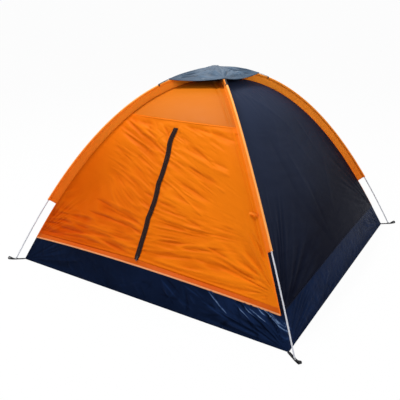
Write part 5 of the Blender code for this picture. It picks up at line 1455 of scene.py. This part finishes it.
WEB_WIDTH, WEB, LOOP_REACH, LOOP_RADIUS, LAP = 0.018, 0.0016, 0.052, 0.0080, 0.012
EYELET_FLANGE, EYELET_CLEAR, RIBS_CLEAR = 0.0008, 0.0066, 0.009
low_web, upper_web = EYELET_FLANGE + GAP, EYELET_FLANGE + GAP + WEB + GAP
stack_top = upper_web + WEB + GAP + EYELET_FLANGE
for name, corner in corners.items():
    foot, _, outward = corner.at(0.0)
    flat = math.hypot(outward[0], outward[1])
    along = np.array((outward[0], outward[1], 0.0)) / flat
    across = np.array((-along[1], along[0], 0.0))
    centre = foot - along * (outward[2] / flat * stack_top / 2)
    centre[2] = 0.0
    low, high = low_web + WEB / 2, upper_web + WEB / 2
    start = (corner.ridge(front_wall.floor_run) - centre).dot(along) + GAP
    # The strap seen from its side: out under the eyelet, round the peg loop and back over.
    bend_x, bend_z = LOOP_REACH - LOOP_RADIUS, low + 1.5 * LOOP_RADIUS
    path = [(start, low), (LAP, low), (bend_x - 2 * LOOP_RADIUS, low + 0.2 * LOOP_RADIUS)]
    path += [(bend_x + LOOP_RADIUS * math.sin(a), bend_z - LOOP_RADIUS * math.cos(a))
             for a in (math.pi * k / 6 for k in range(7))]
    path += [(LAP + LOOP_RADIUS, high + 0.35 * LOOP_RADIUS), (LAP, high), (-LAP, high)]
    path = np.array(path)
    steps = np.linalg.norm(np.diff(path, axis=0), axis=1)
    known = np.concatenate(([0.0], np.cumsum(steps)))
    runs = np.arange(0.0, known[-1], 0.0012)
    path = np.stack([np.interp(runs, known, path[:, k]) for k in (0, 1)], axis=1)
    for _ in range(6):
        path[1:-1] = path[1:-1] * 0.5 + (path[:-2] + path[2:]) * 0.25
    tangent = unit(np.gradient(path, axis=0))
    up = np.stack((-tangent[:, 1], tangent[:, 0]), axis=1)
    points = []
    strips = np.linspace(-WEB_WIDTH / 2, WEB_WIDTH / 2, 15)
    for side in (1, -1):
        edge = np.where(np.abs(strips) > WEB_WIDTH / 2 - 0.0005, 0.5, 1.0) * WEB / 2
        level = path[:, None] + up[:, None] * (side * edge[None, :, None])
        points.append(centre + along * level[..., :1] + across * strips[None, :, None] +
                      UP * level[..., 1:])
    # Its two faces are joined along their edges, and left open where the eyelet sits.
    rows_count, columns_count = points[0].shape[:2]
    size = rows_count * columns_count
    merged = np.concatenate([p.reshape(-1, 3) for p in points])
    near_eyelet = np.hypot(*(merged[:, :2] - centre[:2]).T)
    faces = []
    for side in (0, 1):
        for quad in grid_quads(rows_count, columns_count, side * size):
            if near_eyelet[list(quad)].mean() > EYELET_CLEAR:
                faces.append(quad if side else quad[::-1])
    for k in range(rows_count - 1):
        for edge in (0, columns_count - 1):
            a, b = k * columns_count + edge, (k + 1) * columns_count + edge
            faces.append((a, b, size + b, size + a))
    for row in (0, rows_count - 1):
        a = row * columns_count
        for k in range(columns_count - 1):
            faces.append((a + k, a + k + 1, size + a + k + 1, size + a + k))
    uv = np.stack(np.meshgrid(strips, runs), axis=-1).reshape(-1, 2)
    strap = add_piece(f"corner_webbing_{name}", merged, faces, webbing, "shell",
                      np.concatenate((uv, uv)))
    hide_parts(f"corner_strap_{name}")
    clear = np.abs(path[:, 0]) > RIBS_CLEAR
    rows = []
    for side in (1, -1):
        line = path + up * (side * WEB / 2)
        line = centre + along * line[:, :1] + UP * line[:, 1:]
        facing = (along * up[:, :1] + UP * up[:, 1:]) * side
        breaks = np.flatnonzero(np.diff(clear.astype(int))) + 1
        for part in np.split(np.arange(len(path)), breaks):
            if clear[part[0]] and len(part) > 3 and line[part, 2].min() > 0.0006:
                rows.append((line[part], facing[part]))
    pads(f"corner_ribs_{name}", rows, size=(0.0016, 0.0172, 0.0006), pitch=0.0022,
         material=webbing, body="shell")
    refinish(zinc, f"eyelet_{name}", f"pole_tip_{name}")


# Shock cords. The model's solids are kept: one braided elastic cord inside each pole, from
# tip to tip, white with a fleck from its crossed yarns.
elastic = bpy.data.materials.new("braided_white_elastic")
tree = bare_tree(elastic)
place = node(tree, "ShaderNodeTexCoord")
braid = node(tree, "ShaderNodeTexVoronoi", {"Vector": place.outputs["Object"], "Scale": 700.0})
tone = node(tree, "ShaderNodeValToRGB", {"Fac": braid.outputs["Distance"]},
            stops=((0.0, "#E4E2DA"), (1.0, "#B9B6AE")))
skin = node(tree, "ShaderNodeBsdfPrincipled", {"Base Color": tone.outputs[0],
            "Roughness": 0.8})
node(tree, "ShaderNodeOutputMaterial", {"Surface": skin.outputs[0]})
refinish(elastic, "lower_pole_shock_cord", "upper_pole_shock_cord")
